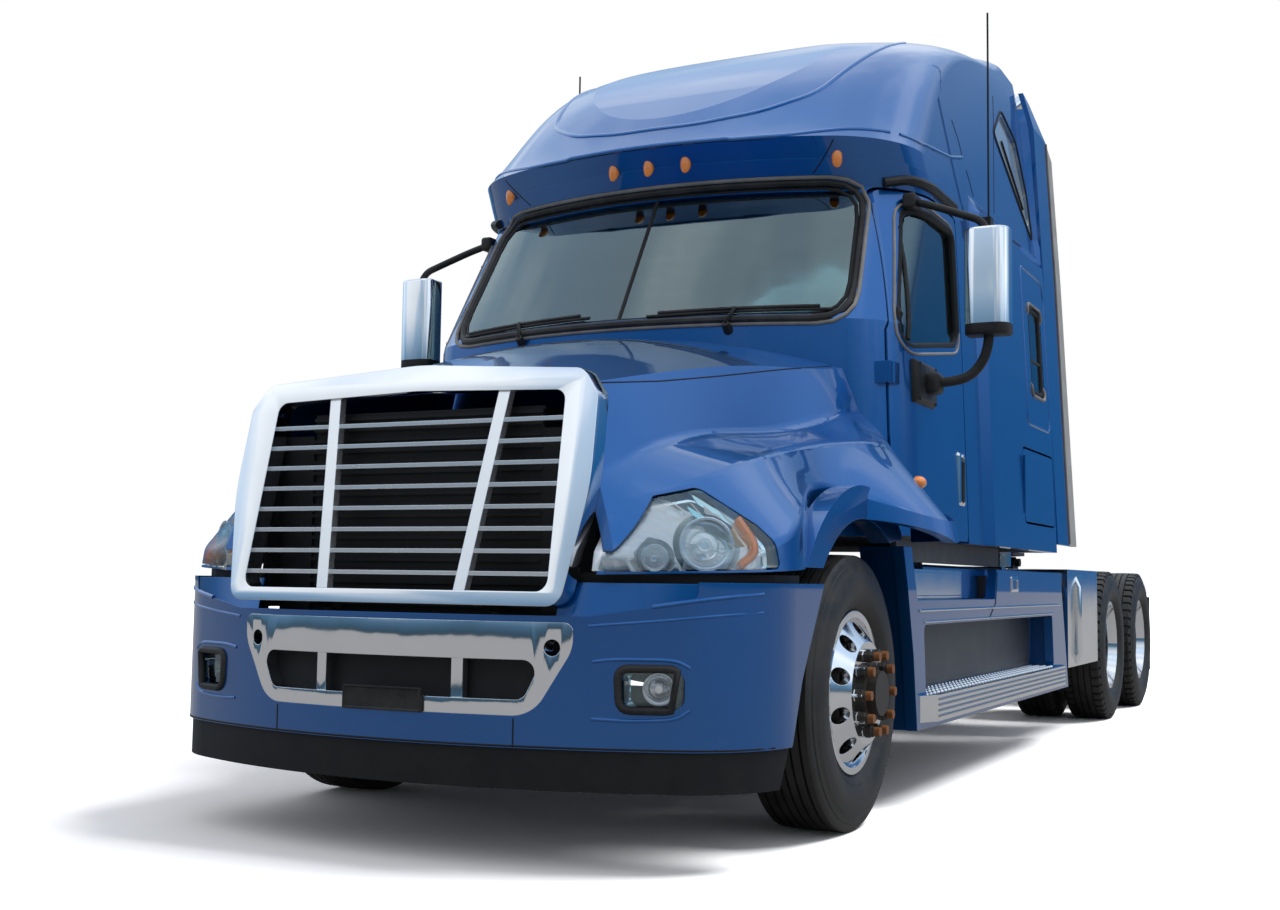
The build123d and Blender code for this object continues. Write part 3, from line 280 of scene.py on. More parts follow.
# ---------------------------------------------------------------- finishes
MADE: dict[Any, bpy.types.Material] = {}


@dataclass(frozen=True)
class Finish:
    """A finish that can be put on any piece."""

    name: str = "finish"

    def build(self, tree: Tree) -> bpy.types.Material:
        """Fills the node tree; each kind of finish has its own."""
        raise NotImplementedError

    def material(self) -> bpy.types.Material:
        """The Blender material, made once."""
        if self not in MADE:
            MADE[self] = self.build(Tree(self.name))
        return MADE[self]


@dataclass(frozen=True)
class MetallicPaint(Finish):
    """Flake paint under clear coat, dusty low down."""

    name: str = "blue_metallic_paint"
    deep: Point = (0.003, 0.075, 0.27)
    bright: Point = (0.005, 0.140, 0.44)
    edge: float = 0.004

    def coat(self, tree: Tree) -> Wire:
        """Flakes in the colour coat, ripple in the clear coat, road dust near the ground."""
        flakes = tree.cells(900.0)
        sparkle = tree.noise(1400.0, 1.0)
        cloud = tree.noise(1.6, 2.0)
        body = tree.mix(flakes * 0.7 + cloud * 0.3, self.deep, self.bright)
        height = tree.axes()[2]
        dust = ((0.75 - height) * 1.6).clamped() * tree.noise(22.0, 5.0) * 0.10
        colour = tree.mix(dust, body, (0.16, 0.15, 0.13))
        ripple = tree.bump(tree.noise(160.0, 1.0), 0.05, 0.001, tree.rounded(self.edge))
        return tree.shader(Base_Color=colour, Metallic=0.80, Roughness=sparkle * 0.12 + dust + 0.30,
                           Specular_IOR_Level=0.1, Coat_Weight=1.0, Coat_Roughness=0.03, Coat_IOR=1.5, Normal=ripple)

    def build(self, tree: Tree) -> bpy.types.Material:
        """The whole surface in this coat."""
        return tree.shown(self.coat(tree))


@dataclass(frozen=True)
class Metal(Finish):
    """Bare or plated metal."""

    name: str = "chrome_plate"
    colour: Point = (0.76, 0.77, 0.79)
    rough: float = 0.05
    smear: float = 0.05
    grain: float = 0.0
    stretch: Point = (1, 1, 1)
    edge: float = 0.003
    metallic: float = 1.0

    def build(self, tree: Tree) -> bpy.types.Material:
        """Faint smears in the polish, and brushed grain where the metal has it."""
        smear = tree.noise(9.0, 4.0)
        tint = tree.mix(smear, self.colour, tuple(c * 0.93 for c in self.colour))
        normal = tree.rounded(self.edge)
        if self.grain:
            brushed = tree.noise(60.0, 4.0, 0.7, self.stretch)
            normal = tree.bump(brushed, self.grain, 0.0006, normal)
            rough = brushed * self.smear + self.rough
        else:
            normal = tree.bump(tree.noise(30.0, 2.0), 0.03, 0.001, normal)
            rough = smear * self.smear + self.rough
        return tree.surface(Base_Color=tint, Metallic=self.metallic, Roughness=rough, Normal=normal)


@dataclass(frozen=True)
class Plastic(Finish):
    """Moulded plastic, rubber or dull paint."""

    name: str = "black_plastic"
    colour: Point = (0.012, 0.012, 0.013)
    worn: Point = (0.05, 0.048, 0.045)
    rough: float = 0.5
    grain: float = 420.0
    depth: float = 0.0004

    def build(self, tree: Tree) -> bpy.types.Material:
        """Fine moulded grain with a little dust in it."""
        grain = tree.noise(self.grain, 2.0)
        dust = tree.noise(7.0, 6.0, 0.6)
        mask = tree.ramp(dust, [(0.42, 0.0), (0.75, 1.0)])
        colour = tree.mix(mask, self.colour, self.worn)
        normal = tree.bump(grain, 0.35, self.depth)
        return tree.surface(Base_Color=colour, Roughness=dust * 0.2 + (self.rough - 0.1), Normal=normal,
                            Specular_IOR_Level=0.3)


@dataclass(frozen=True)
class CastIron(Finish):
    """Rough cast or forged metal with rust in its hollows."""

    name: str = "cast_iron"
    colour: Point = (0.035, 0.035, 0.037)
    rust: Point = (0.09, 0.045, 0.02)
    amount: float = 0.4

    def build(self, tree: Tree) -> bpy.types.Material:
        """Sand-cast skin and patches of rust."""
        skin = tree.noise(140.0, 5.0, 0.7)
        patch = tree.ramp(tree.noise(11.0, 6.0, 0.65), [(0.45, 0.0), (0.68, 1.0)])
        colour = tree.mix(patch * self.amount, self.colour, self.rust)
        return tree.surface(Base_Color=colour, Metallic=0.4, Roughness=patch * 0.25 + 0.5,
                            Normal=tree.bump(skin, 0.5, 0.0015))


@dataclass(frozen=True)
class TyreRubber(Finish):
    """Black tyre rubber, greyed by dust."""

    name: str = "tyre_rubber"
    colour: Point = (0.014, 0.0135, 0.013)
    dusty: Point = (0.07, 0.062, 0.052)

    def build(self, tree: Tree) -> bpy.types.Material:
        """Fine rubber skin with dust in patches."""
        dust = tree.ramp(tree.noise(9.0, 6.0, 0.65), [(0.4, 0.0), (0.8, 1.0)])
        colour = tree.mix(dust * 0.6, self.colour, self.dusty)
        return tree.surface(Base_Color=colour, Roughness=dust * 0.2 + 0.5,
                            Normal=tree.bump(tree.noise(300.0, 3.0), 0.4, 0.0006))


@dataclass(frozen=True)
class Glass(Finish):
    """Thin tinted window glass."""

    name: str = "window_glass"
    tint: Point = (0.52, 0.66, 0.64)
    gloss: float = 0.02
    base: float = 0.10

    def build(self, tree: Tree) -> bpy.types.Material:
        """Clear tinted glass that reflects more at a low angle, with faint wiped streaks."""
        streak = tree.noise(5.0, 5.0, 0.6, (1, 1, 6))
        clear = tree.node("ShaderNodeBsdfTransparent", {}, {"Color": self.tint})
        shine = tree.node("ShaderNodeBsdfPrincipled", {}, {
            "Base Color": (0.74, 0.93, 0.97), "Metallic": 1.0, "Roughness": streak * 0.03 + self.gloss})
        mirror = tree.node("ShaderNodeFresnel", {}, {"IOR": 1.5}) * 0.9 + (streak * 0.03 + self.base)
        return tree.shown(tree.node("ShaderNodeMixShader", {}, {0: mirror.clamped(), 1: clear, 2: shine}))


@dataclass(frozen=True)
class Lens(Finish):
    """Coloured lamp plastic with fine ribs."""

    name: str = "amber_lens"
    colour: Point = (0.95, 0.28, 0.02)
    glow: float = 0.12

    def build(self, tree: Tree) -> bpy.types.Material:
        """Ribbed, slightly see-through plastic under a hard gloss."""
        x, y, z = tree.axes()
        ribs = ((x + z) * 900.0).sine() * ((y - z) * 900.0).sine()
        colour = tree.mix(ribs * 0.5 + 0.5, self.colour, tuple(c * 0.6 for c in self.colour))
        return tree.surface(Base_Color=colour, Roughness=0.2, Coat_Weight=1.0, Coat_Roughness=0.04,
                            Emission_Color=self.colour, Emission_Strength=self.glow,
                            Normal=tree.bump(ribs, 0.4, 0.001))


@dataclass(frozen=True)
class Cloth(Finish):
    """Woven seat cloth."""

    name: str = "seat_cloth"
    colour: Point = (0.08, 0.085, 0.1)
    light: Point = (0.16, 0.165, 0.18)

    def build(self, tree: Tree) -> bpy.types.Material:
        """Crossed threads with a mottled colour."""
        x, y, z = tree.axes()
        warp = ((x + y) * 2400.0).sine()
        weft = ((z + y) * 2400.0).sine()
        weave = warp * weft * 0.5 + 0.5
        colour = tree.mix(weave * 0.6 + tree.noise(20.0, 4.0) * 0.4, self.colour, self.light)
        return tree.surface(Base_Color=colour, Roughness=0.9, Sheen_Weight=0.3,
                            Normal=tree.bump(weave, 0.5, 0.0008))


PAINT = MetallicPaint()
CHROME = Metal()
POLISHED = Metal("polished_aluminium", (0.80, 0.81, 0.82), 0.10, 0.10)
BRUSHED = Metal("brushed_aluminium", (0.62, 0.63, 0.64), 0.26, 0.16, 0.5, (1, 0.05, 1))
BLACK = Plastic()
DEEP_BLACK = Plastic("deep_black_plastic", (0.006, 0.006, 0.007), (0.014, 0.014, 0.014), 0.6)
GREY = Plastic("grey_plastic", (0.09, 0.09, 0.095), (0.14, 0.14, 0.14), 0.55)
CAB_TRIM = Plastic("cab_trim", (0.16, 0.165, 0.17), (0.2, 0.2, 0.2), 0.6)
EDGE_RUBBER = Plastic("grey_edge_rubber", (0.36, 0.36, 0.35), (0.26, 0.255, 0.24), 0.6, 200.0)
CHASSIS = Plastic("chassis_paint", (0.018, 0.018, 0.019), (0.075, 0.068, 0.06), 0.5, 160.0, 0.0006)
IRON = CastIron()
RUBBER = TyreRubber()
GLASS = Glass()
CLEAR = Glass("clear_lens", (0.94, 0.95, 0.96), 0.02, 0.03)
AMBER = Lens()
RED = Lens("red_lens", (0.5, 0.01, 0.01), 0.03)
CLOTH = Cloth()
# Warm pale grey on the outer lips of gaskets and window frames and on the extender edges: partly their own pale grey,
# partly a painted highlight along those lips.
EDGE_GREY_AND_HIGHLIGHT = Plastic("edge_grey_and_highlight", (0.20, 0.195, 0.185), (0.30, 0.29, 0.27), 0.35)
MIRROR_GLASS = Metal("mirror_glass", (0.70, 0.73, 0.75), 0.01, 0.02)
PANEL_GREY = Plastic("recess_grey", (0.075, 0.078, 0.085), (0.13, 0.13, 0.13), 0.4, 500.0)
SILL_GREY = Metal("sill_grey", (0.50, 0.51, 0.52), 0.30, 0.10)
CHECKER = Metal("deck_plate_metal", (0.45, 0.46, 0.47), 0.30, 0.20, 0.6)
REFLECTOR = Metal("lamp_reflector", (0.93, 0.94, 0.95), 0.06, 0.04, metallic=0.75)
LAMP_SILVER = Metal("lamp_silver", (0.86, 0.87, 0.89), 0.20, 0.08, metallic=0.40)
BAR_CHROME = Metal("bar_chrome", (0.86, 0.87, 0.88), 0.24, 0.05, metallic=0.80)

NODE_FINISH: dict[str, Finish] = {
    Slot.PAINT.value: PAINT, Slot.CHROME.value: CHROME, Slot.POLISHED.value: POLISHED, Slot.ALUMINIUM.value: BRUSHED,
    Slot.TYRE.value: RUBBER, Slot.BLACK.value: BLACK, Slot.RUBBER.value: EDGE_RUBBER, Slot.GLASS.value: GLASS,
    Slot.LENS.value: CLEAR, Slot.CHASSIS.value: CHASSIS, Slot.IRON.value: IRON, Slot.AMBER.value: AMBER,
    Slot.FABRIC.value: CLOTH, Slot.GREY.value: GREY,
}


# ---------------------------------------------------------------- studio
# height, from straight down at 0 to straight up at 1, and colour
SKY = [(0.0, (0.14, 0.13, 0.125)), (0.49, (0.18, 0.18, 0.18)), (0.515, (0.40, 0.41, 0.43)),
       (0.75, (0.50, 0.52, 0.56)), (1.0, (0.74, 0.74, 0.75))]
REFLECTED_SKY = [(0.0, (0.03, 0.03, 0.03)), (0.49, (0.03, 0.05, 0.07)), (0.51, (0.05, 0.11, 0.17)),
                 (0.56, (0.13, 0.28, 0.46)), (0.60, (0.38, 0.62, 0.90)), (0.64, (0.72, 0.95, 1.20)),
                 (0.80, (0.66, 0.86, 1.12)), (0.95, (0.85, 0.95, 1.1))]
CLOUD = (1.5, 1.55, 1.6)
BLUE_HAZE = (0.01, 0.12, 0.34)
DARK_HAZE = (0.02, 0.04, 0.06)
GLOSSY_SHARE = 0.14


@dataclass
class Studio:
    """Camera, floor, world and lamps."""

    camera_place: Point = (2.95, -8.44, 0.91)
    turn: float = math.radians(26.6)
    rise: float = math.radians(4.77)
    roll: float = math.radians(0.78)
    lens: float = 42.1875
    floor_size: float = 400.0
    sun_energy: float = 2.8

    def camera(self) -> None:
        """Makes the camera at the viewing place."""
        data = bpy.data.cameras.new("camera")
        data.lens, data.sensor_width = self.lens, 36.0
        data.clip_end = 1000.0
        forward = Vector((-math.sin(self.turn) * math.cos(self.rise), math.cos(self.turn) * math.cos(self.rise),
                          math.sin(self.rise)))
        level = Vector((math.cos(self.turn), math.sin(self.turn), 0.0))
        upright = level.cross(forward)
        right = level * math.cos(self.roll) + upright * math.sin(self.roll)
        up = upright * math.cos(self.roll) - level * math.sin(self.roll)
        camera = bpy.data.objects.new("camera", data)
        turned = Matrix((right, up, -forward)).transposed().to_4x4()
        camera.matrix_world = Matrix.Translation(self.camera_place) @ turned
        bpy.context.scene.collection.objects.link(camera)
        bpy.context.scene.camera = camera

    def floor(self) -> None:
        """Makes the pale floor, which the camera sees as white outside the shadow."""
        deselect()
        bpy.ops.mesh.primitive_plane_add(size=self.floor_size)
        floor = bpy.context.object
        floor.name = "floor"
        tree = Tree("pale_floor")
        seen = self.seen(tree)
        near = tree.node("ShaderNodeBsdfDiffuse", {}, {"Color": (1.28, 1.28, 1.29)})
        plain = tree.node("ShaderNodeBsdfDiffuse", {}, {"Color": (0.16, 0.16, 0.16)})
        floor.data.materials.append(tree.shown(tree.node("ShaderNodeMixShader", {}, {0: seen, 1: plain, 2: near})))

    @staticmethod
    def seen(tree: Tree) -> Wire:
        """1 for the camera and a view through glass, and a small share for a reflection."""
        rays = tree.node("ShaderNodeLightPath").socket.node
        total = (Wire(tree, rays.outputs["Is Camera Ray"]) + Wire(tree, rays.outputs["Is Transmission Ray"])
                 + Wire(tree, rays.outputs["Is Glossy Ray"]) * GLOSSY_SHARE)
        return total.clamped()

    def world(self) -> None:
        """White surroundings for the camera, a soft sky for the light and a cloudy one for reflections."""
        world = bpy.data.worlds.new("surroundings")
        bpy.context.scene.world = world
        tree = Tree(world.name, world)
        direction = tree.node("ShaderNodeTexCoord", {}, {}, "Generated")
        height = tree.axes(direction)[2]
        sky = tree.ramp(height * 0.5 + 0.5, SKY)
        cloud = tree.node("ShaderNodeTexNoise", {}, {"Vector": direction, "Scale": 2.3, "Detail": 3.0}, 0)
        clear = tree.ramp(height * 0.5 + 0.5, REFLECTED_SKY)
        puffs = tree.ramp(cloud, [(0.48, 0.0), (0.62, 1.0)]) * ((height - 0.10) * 5.0).clamped()
        room = tree.mix(puffs * 0.8, clear, CLOUD)
        along = (tree.axes(direction)[1] * 2.4 - 1.0).clamped() * (1.0 - (height - 0.3) * 3.0).clamped() * 0.92
        room = tree.mix(along, room, BLUE_HAZE)
        behind = (tree.axes(direction)[1] * -2.0 - 0.8).clamped() * (1.0 - (height - 0.35) * 4.0).clamped() * 0.45
        room = tree.mix(behind, room, DARK_HAZE)
        rays = tree.node("ShaderNodeLightPath").socket.node
        bounced = tree.mix(Wire(tree, rays.outputs["Is Glossy Ray"]), sky, room)
        straight = Wire(tree, rays.outputs["Is Camera Ray"]) + Wire(tree, rays.outputs["Is Transmission Ray"])
        back = tree.mix(straight.clamped(), bounced, (1.0, 1.0, 1.0))
        lit = tree.node("ShaderNodeBackground", {}, {"Color": back, "Strength": 1.0})
        output = tree.tree.nodes.new("ShaderNodeOutputWorld")
        tree.tree.links.new(lit.socket, output.inputs["Surface"])

    def lamps(self) -> None:
        """One broad key lamp from the truck's left and a weak fill from ahead, neither of them reflected."""
        for name, energy, spread, direction in (
            ("key", self.sun_energy, 25.0, (-0.42, -0.30, -0.86)),
            ("fill", 0.15, 60.0, (-0.35, 0.85, -0.40)),
        ):
            data = bpy.data.lights.new(name, "SUN")
            data.energy, data.angle = energy, math.radians(spread)
            lamp = bpy.data.objects.new(name, data)
            lamp.rotation_mode = "QUATERNION"
            lamp.rotation_quaternion = Vector(direction).to_track_quat("-Z", "Y")
            lamp.visible_glossy = False
            bpy.context.scene.collection.objects.link(lamp)

    def build(self) -> None:
        """Makes everything round the truck."""
        self.camera()
        self.floor()
        self.world()
        self.lamps()
        bpy.context.scene.view_settings.view_transform = "Standard"


def deselect() -> None:
    """Leaves edit mode and deselects every object."""
    if bpy.context.object is not None and bpy.context.object.mode != "OBJECT":
        bpy.ops.object.mode_set(mode="OBJECT")
    bpy.ops.object.select_all(action="DESELECT")


# ---------------------------------------------------------------- the bench
class Side(Enum):
    """Side of the truck; the value is the sign of X."""

    LEFT = 1
    RIGHT = -1

    @property
    def word(self) -> str:
        """Name of the side in node and body names."""
        return self.name.lower()


@dataclass
class Bench:
    """One new mesh and the operators that shape it."""

    obj: bpy.types.Object

    @classmethod
    def _taken(cls, name: str) -> "Bench":
        """Names the object just added and applies its place."""
        made = bpy.context.object
        made.name = made.data.name = name
        bpy.ops.object.transform_apply(location=True, rotation=True, scale=True)
        return cls(made)

    @classmethod
    def block(cls, name: str, low: Sequence[float], high: Sequence[float]) -> "Bench":
        """Block between two corners."""
        deselect()
        middle = [(a + b) / 2 for a, b in zip(low, high)]
        size = [abs(b - a) for a, b in zip(low, high)]
        bpy.ops.mesh.primitive_cube_add(size=1.0, location=middle, scale=size)
        return cls._taken(name)

    @classmethod
    def drum(cls, name: str, centre: Sequence[float], radius: float, length: float, axis: Sequence[float] = (1, 0, 0),
             sides: int = 32, end: Optional[float] = None) -> "Bench":
        """Cylinder or cone about an axis.

        Args:
            name: Name of the piece.
            centre: Its middle.
            radius: Radius at its start.
            length: Length along the axis.
            axis: Direction from start to end.
            sides: Number of sides.
            end: Radius at its end, the same as the start if left out.

        Returns:
            The bench with the new mesh.
        """
        deselect()
        turn = Vector(axis).to_track_quat("Z", "Y").to_euler()
        bpy.ops.mesh.primitive_cone_add(vertices=sides, radius1=radius, radius2=radius if end is None else end,
                                        depth=length, location=centre, rotation=turn)
        return cls._taken(name)

    @classmethod
    def tube(cls, name: str, points: Sequence[Sequence[float]], radius: float, closed: bool = False,
             sides: int = 3, smooth: bool = False) -> "Bench":
        """Round bar along points.

        Args:
            name: Name of the piece.
            points: Places it passes through.
            radius: Its radius.
            closed: Whether its end meets its start.
            sides: Bevel resolution; the bar has 4 + 2 * sides faces round.
            smooth: Whether it bends smoothly near the points instead of at them.

        Returns:
            The bench with the bar as a mesh.
        """
        deselect()
        curve = bpy.data.curves.new(name, "CURVE")
        curve.dimensions, curve.bevel_depth, curve.bevel_resolution = "3D", radius, sides
        curve.use_fill_caps = not closed
        line = curve.splines.new("NURBS" if smooth else "POLY")
        line.points.add(len(points) - 1)
        for point, place in zip(line.points, points):
            point.co = (*place, 1.0)
        line.use_cyclic_u = closed
        if smooth:
            line.order_u, line.use_endpoint_u, line.resolution_u = 3, True, 10
        bar = bpy.data.objects.new(name, curve)
        bpy.context.scene.collection.objects.link(bar)
        bpy.context.view_layer.objects.active = bar
        bar.select_set(True)
        bpy.ops.object.convert(target="MESH")
        return cls._taken(name)

    @classmethod
    def ribbon(cls, name: str, first: Sequence[Vector], second: Sequence[Vector], thick: float) -> "Bench":
        """Thin sheet bridged between two lines of points."""
        edges = [cls.tube(part, points, 0.0) for part, points in ((name, first), ("edge", second))]
        sheet = edges[0].joined(edges[1])
        with sheet.editing():
            bpy.ops.mesh.select_mode(type="EDGE")
            bpy.ops.mesh.select_all(action="SELECT")
            bpy.ops.mesh.bridge_edge_loops()
            sheet.tidied()
        return sheet.modifier("SOLIDIFY", thickness=thick, offset=0.0)

    @classmethod
    def of_node(cls, name: str, node: str) -> "Bench":
        """Copy of a CAD node's mesh, with its loose triangles merged."""
        source = frame["nodes"][node]
        copy = bpy.data.objects.new(name, source.data.copy())
        copy.data.name = name
        bpy.context.scene.collection.objects.link(copy)
        bench = cls(copy)
        with bench.editing():
            bpy.ops.mesh.select_all(action="SELECT")
            bpy.ops.mesh.remove_doubles(threshold=0.00001)
            bpy.ops.mesh.dissolve_limited(angle_limit=math.radians(0.5))
        return bench

    @classmethod
    def turned(cls, name: str, centre: Point, profile: Sequence[tuple[float, float]], steps: int) -> "Bench":
        """Shape turned about the truck's cross axis.

        Args:
            name: Name of the piece.
            centre: Middle of the wheel or drum.
            profile: (outward X, radius) of the section's points, in order.
            steps: Steps of the spin.

        Returns:
            The bench with the turned mesh.
        """
        places = [Vector((centre[0] + out, centre[1], centre[2] + radius)) for out, radius in profile]
        deselect()
        bpy.ops.mesh.primitive_plane_add(size=0.001, location=places[0])
        bench = cls._taken(name)
        with bench.editing():
            bpy.ops.mesh.select_all(action="SELECT")
            bpy.ops.mesh.merge(type="CENTER")
            for start, stop in zip(places, places[1:]):
                bpy.ops.mesh.extrude_region_move(TRANSFORM_OT_translate={"value": stop - start})
            bpy.ops.mesh.select_all(action="SELECT")
            bpy.ops.mesh.spin(steps=steps, angle=math.tau, center=centre, axis=(1, 0, 0))
            bench.tidied(0.0002)
        return bench

    def editing(self) -> "Editing":
        """Edit mode on this mesh, for a with block."""
        return Editing(self.obj)

    @staticmethod
    def tidied(distance: float = 0.0001) -> None:
        """Merges doubles and turns the faces outward, in edit mode."""
        bpy.ops.mesh.select_all(action="SELECT")
        bpy.ops.mesh.remove_doubles(threshold=distance)
        bpy.ops.mesh.normals_make_consistent(inside=False)

    def pick(self, test: Callable[[Any], bool], kind: str = "faces") -> None:
        """Selects elements in edit mode.

        Args:
            test: Says which elements are wanted.
            kind: "faces", "edges" or "verts".
        """
        bpy.ops.mesh.select_mode(type={"faces": "FACE", "edges": "EDGE", "verts": "VERT"}[kind])
        bpy.ops.mesh.select_all(action="DESELECT")
        mesh = bmesh.from_edit_mesh(self.obj.data)
        for element in [element for element in getattr(mesh, kind) if test(element)]:
            element.select_set(True)
        mesh.select_flush_mode()
        bmesh.update_edit_mesh(self.obj.data)

    def stepped(self, test: Callable[[Any], bool], *steps: tuple[float, float]) -> "Bench":
        """Insets the faces that pass a test, once for each (thickness, depth)."""
        with self.editing():
            self.pick(test)
            for thickness, depth in steps:
                bpy.ops.mesh.inset(thickness=thickness, depth=depth)
        return self

    def modifier(self, kind: str, **settings: Any) -> "Bench":
        """Adds a modifier, sets it and applies it."""
        deselect()
        self.obj.select_set(True)
        bpy.context.view_layer.objects.active = self.obj
        added = self.obj.modifiers.new(kind.lower(), kind)
        for key, value in settings.items():
            setattr(added, key, value)
        bpy.ops.object.modifier_apply(modifier=added.name)
        return self

    def repeated(self, count: int, step: Point) -> "Bench":
        """Row of so many copies, each a step from the last."""
        return self.modifier("ARRAY", count=count, use_relative_offset=False, use_constant_offset=True,
                             constant_offset_displace=step)

    def softened(self, width: float, segments: int = 3, angle: float = 30.0) -> "Bench":
        """Rounds the edges that are sharper than an angle."""
        return self.modifier("BEVEL", width=width, segments=segments, limit_method="ANGLE",
                             angle_limit=math.radians(angle), harden_normals=False)

    def smooth(self, angle: float = 35.0) -> "Bench":
        """Shades smooth except over sharp edges."""
        deselect()
        self.obj.select_set(True)
        bpy.context.view_layer.objects.active = self.obj
        bpy.ops.object.shade_smooth_by_angle(angle=math.radians(angle))
        return self

    def copied(self, name: str, change: Matrix) -> "Bench":
        """Copy with its own mesh, moved, turned or mirrored by a matrix."""
        twin = self.obj.copy()
        twin.data = self.obj.data.copy()
        twin.name = twin.data.name = name
        bpy.context.scene.collection.objects.link(twin)
        twin.data.transform(change)
        if change.determinant() < 0:
            twin.data.flip_normals()
        return Bench(twin)

    def joined(self, *others: "Bench") -> "Bench":
        """Joins other pieces into this one."""
        deselect()
        for other in others:
            other.obj.select_set(True)
        self.obj.select_set(True)
        bpy.context.view_layer.objects.active = self.obj
        bpy.ops.object.join()
        return self

    def coloured(self, finish: Finish) -> "Bench":
        """Gives the whole mesh one finish."""
        self.obj.data.materials.clear()
        self.obj.data.materials.append(finish.material())
        return self

    def painted(self, finish: Finish, test: Callable[[Any], bool]) -> "Bench":
        """Gives the faces that pass a test a further finish."""
        self.obj.data.materials.append(finish.material())
        last = len(self.obj.data.materials) - 1
        for face in self.obj.data.polygons:
            if test(face):
                face.material_index = last
        return self

    def two_finishes(self, first: Finish, second: Finish, test: Callable[[Any], bool]) -> "Bench":
        """Gives the mesh one finish, and another where faces pass a test."""
        return self.coloured(first).painted(second, test)

    def placed(self, body: str, finish: Optional[Finish], slot: Slot, *nodes: str) -> "Bench":
        """Puts the finished piece on its body.

        Args:
            body: CAD body that carries it.
            finish: Its finish, or None if it already has its materials.
            slot: The record's slot; it is not used.
            nodes: CAD nodes that it replaces.

        Returns:
            The bench.
        """
        if finish is not None:
            self.coloured(finish)
        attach(self.obj, body)
        if nodes:
            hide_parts(*nodes)
        LOG.info("%s rides on %s", self.obj.name, body)
        return self


@dataclass
class Editing:
    """Edit mode on one object for the length of a with block."""

    obj: bpy.types.Object

    def __enter__(self) -> None:
        """Goes into edit mode with this object alone."""
        deselect()
        self.obj.select_set(True)
        bpy.context.view_layer.objects.active = self.obj
        bpy.ops.object.mode_set(mode="EDIT")

    def __exit__(self, *error: Any) -> None:
        """Leaves edit mode."""
        bpy.ops.object.mode_set(mode="OBJECT")


TREES: dict[str, BVHTree] = {}


@dataclass(frozen=True)
class Skin:
    """The outside of some CAD nodes, to lay trim on."""

    nodes: tuple[str, ...]

    def hit(self, start: Vector, direction: Vector) -> Optional[tuple[Vector, Vector]]:
        """First place where a line meets the skin, and the normal there."""
        best = None
        for name in self.nodes:
            if name not in TREES:
                mesh = frame["nodes"][name].data
                TREES[name] = BVHTree.FromPolygons([vertex.co for vertex in mesh.vertices],
                                                   [face.vertices for face in mesh.polygons])
            place, normal, _, _ = TREES[name].ray_cast(start, direction)
            if place is not None and (best is None or (place - start).length < (best[0] - start).length):
                best = (place, normal)
        return best

    def side(self, side: Side, behind: float, height: float, lift: float = 0.0) -> Optional[Vector]:
        """Place on the skin seen from one side."""
        found = self.hit(Vector((side.value * 3.0, sta(behind), height)), Vector((-side.value, 0, 0)))
        return found and found[0] + lift * self.outward(found[1], Vector((side.value, 0, 0)))

    def front(self, across: float, height: float, lift: float = 0.0) -> Optional[Vector]:
        """Place on the skin seen from ahead."""
        found = self.hit(Vector((across, -8.0, height)), Vector((0, 1, 0)))
        return found and found[0] + lift * self.outward(found[1], Vector((0, -1, 0)))

    def side_run(self, side: Side, path: Sequence[tuple[float, float]], lift: float = 0.0, closed: bool = False,
                 gap: float = 0.03, corner: float = 0.0) -> list[Vector]:
        """Points on the skin along a path of (metres behind the front axle, height), seen from one side."""
        points = run([(0.0, behind, height) for behind, height in path], closed, gap, corner)
        found = (self.side(side, point.y, point.z, lift) for point in points)
        return [place for place in found if place is not None]

    def side_loop(self, side: Side, path: Sequence[tuple[float, float]], lift: float, corner: float) -> list[Vector]:
        """Closed loop with its corners on the skin and straight lines between them."""
        found = [self.side(side, behind, height, lift) for behind, height in path]
        return run([place for place in found if place is not None], True, 0.03, corner)

    def front_run(self, path: Sequence[tuple[float, float]], lift: float = 0.0, closed: bool = False,
                  gap: float = 0.03, corner: float = 0.0) -> list[Vector]:
        """Points on the skin along a path of (across, height), seen from ahead."""
        points = run([(across, 0.0, height) for across, height in path], closed, gap, corner)
        found = (self.front(point.x, point.z, lift) for point in points)
        return [place for place in found if place is not None]

    @staticmethod
    def outward(normal: Vector, towards: Vector) -> Vector:
        """The normal, turned to the side it was seen from."""
        return normal if normal.dot(towards) >= 0 else -normal


def run(points: Sequence[Sequence[float]], closed: bool = False, gap: float = 0.03,
        corner: float = 0.0) -> list[Vector]:
    """Points along a path, with its corners rounded.

    Args:
        points: Corners of the path.
        closed: Whether its end meets its start.
        gap: Distance between points on straight runs.
        corner: How far from each corner the rounding begins.

    Returns:
        The points in order.
    """
    path = [Vector(point) for point in points]
    count = len(path)
    ends: list[Vector] = []
    for index, here in enumerate(path):
        if not closed and index in (0, count - 1) or not corner:
            ends.append(here)
            continue
        before, after = path[index - 1], path[(index + 1) % count]
        first = here + (before - here).normalized() * min(corner, (before - here).length * 0.45)
        last = here + (after - here).normalized() * min(corner, (after - here).length * 0.45)
        ends += [first.lerp(here, t).lerp(here.lerp(last, t), t) for t in (0.0, 0.25, 0.5, 0.75, 1.0)]
    out: list[Vector] = []
    pairs = list(zip(ends, ends[1:])) + ([(ends[-1], ends[0])] if closed else [])
    for start, stop in pairs:
        steps = max(1, int((stop - start).length / gap))
        out += [start.lerp(stop, step / steps) for step in range(steps)]
    return out if closed else out + [ends[-1]]


MIRRORED = Matrix.Diagonal((-1, 1, 1, 1))


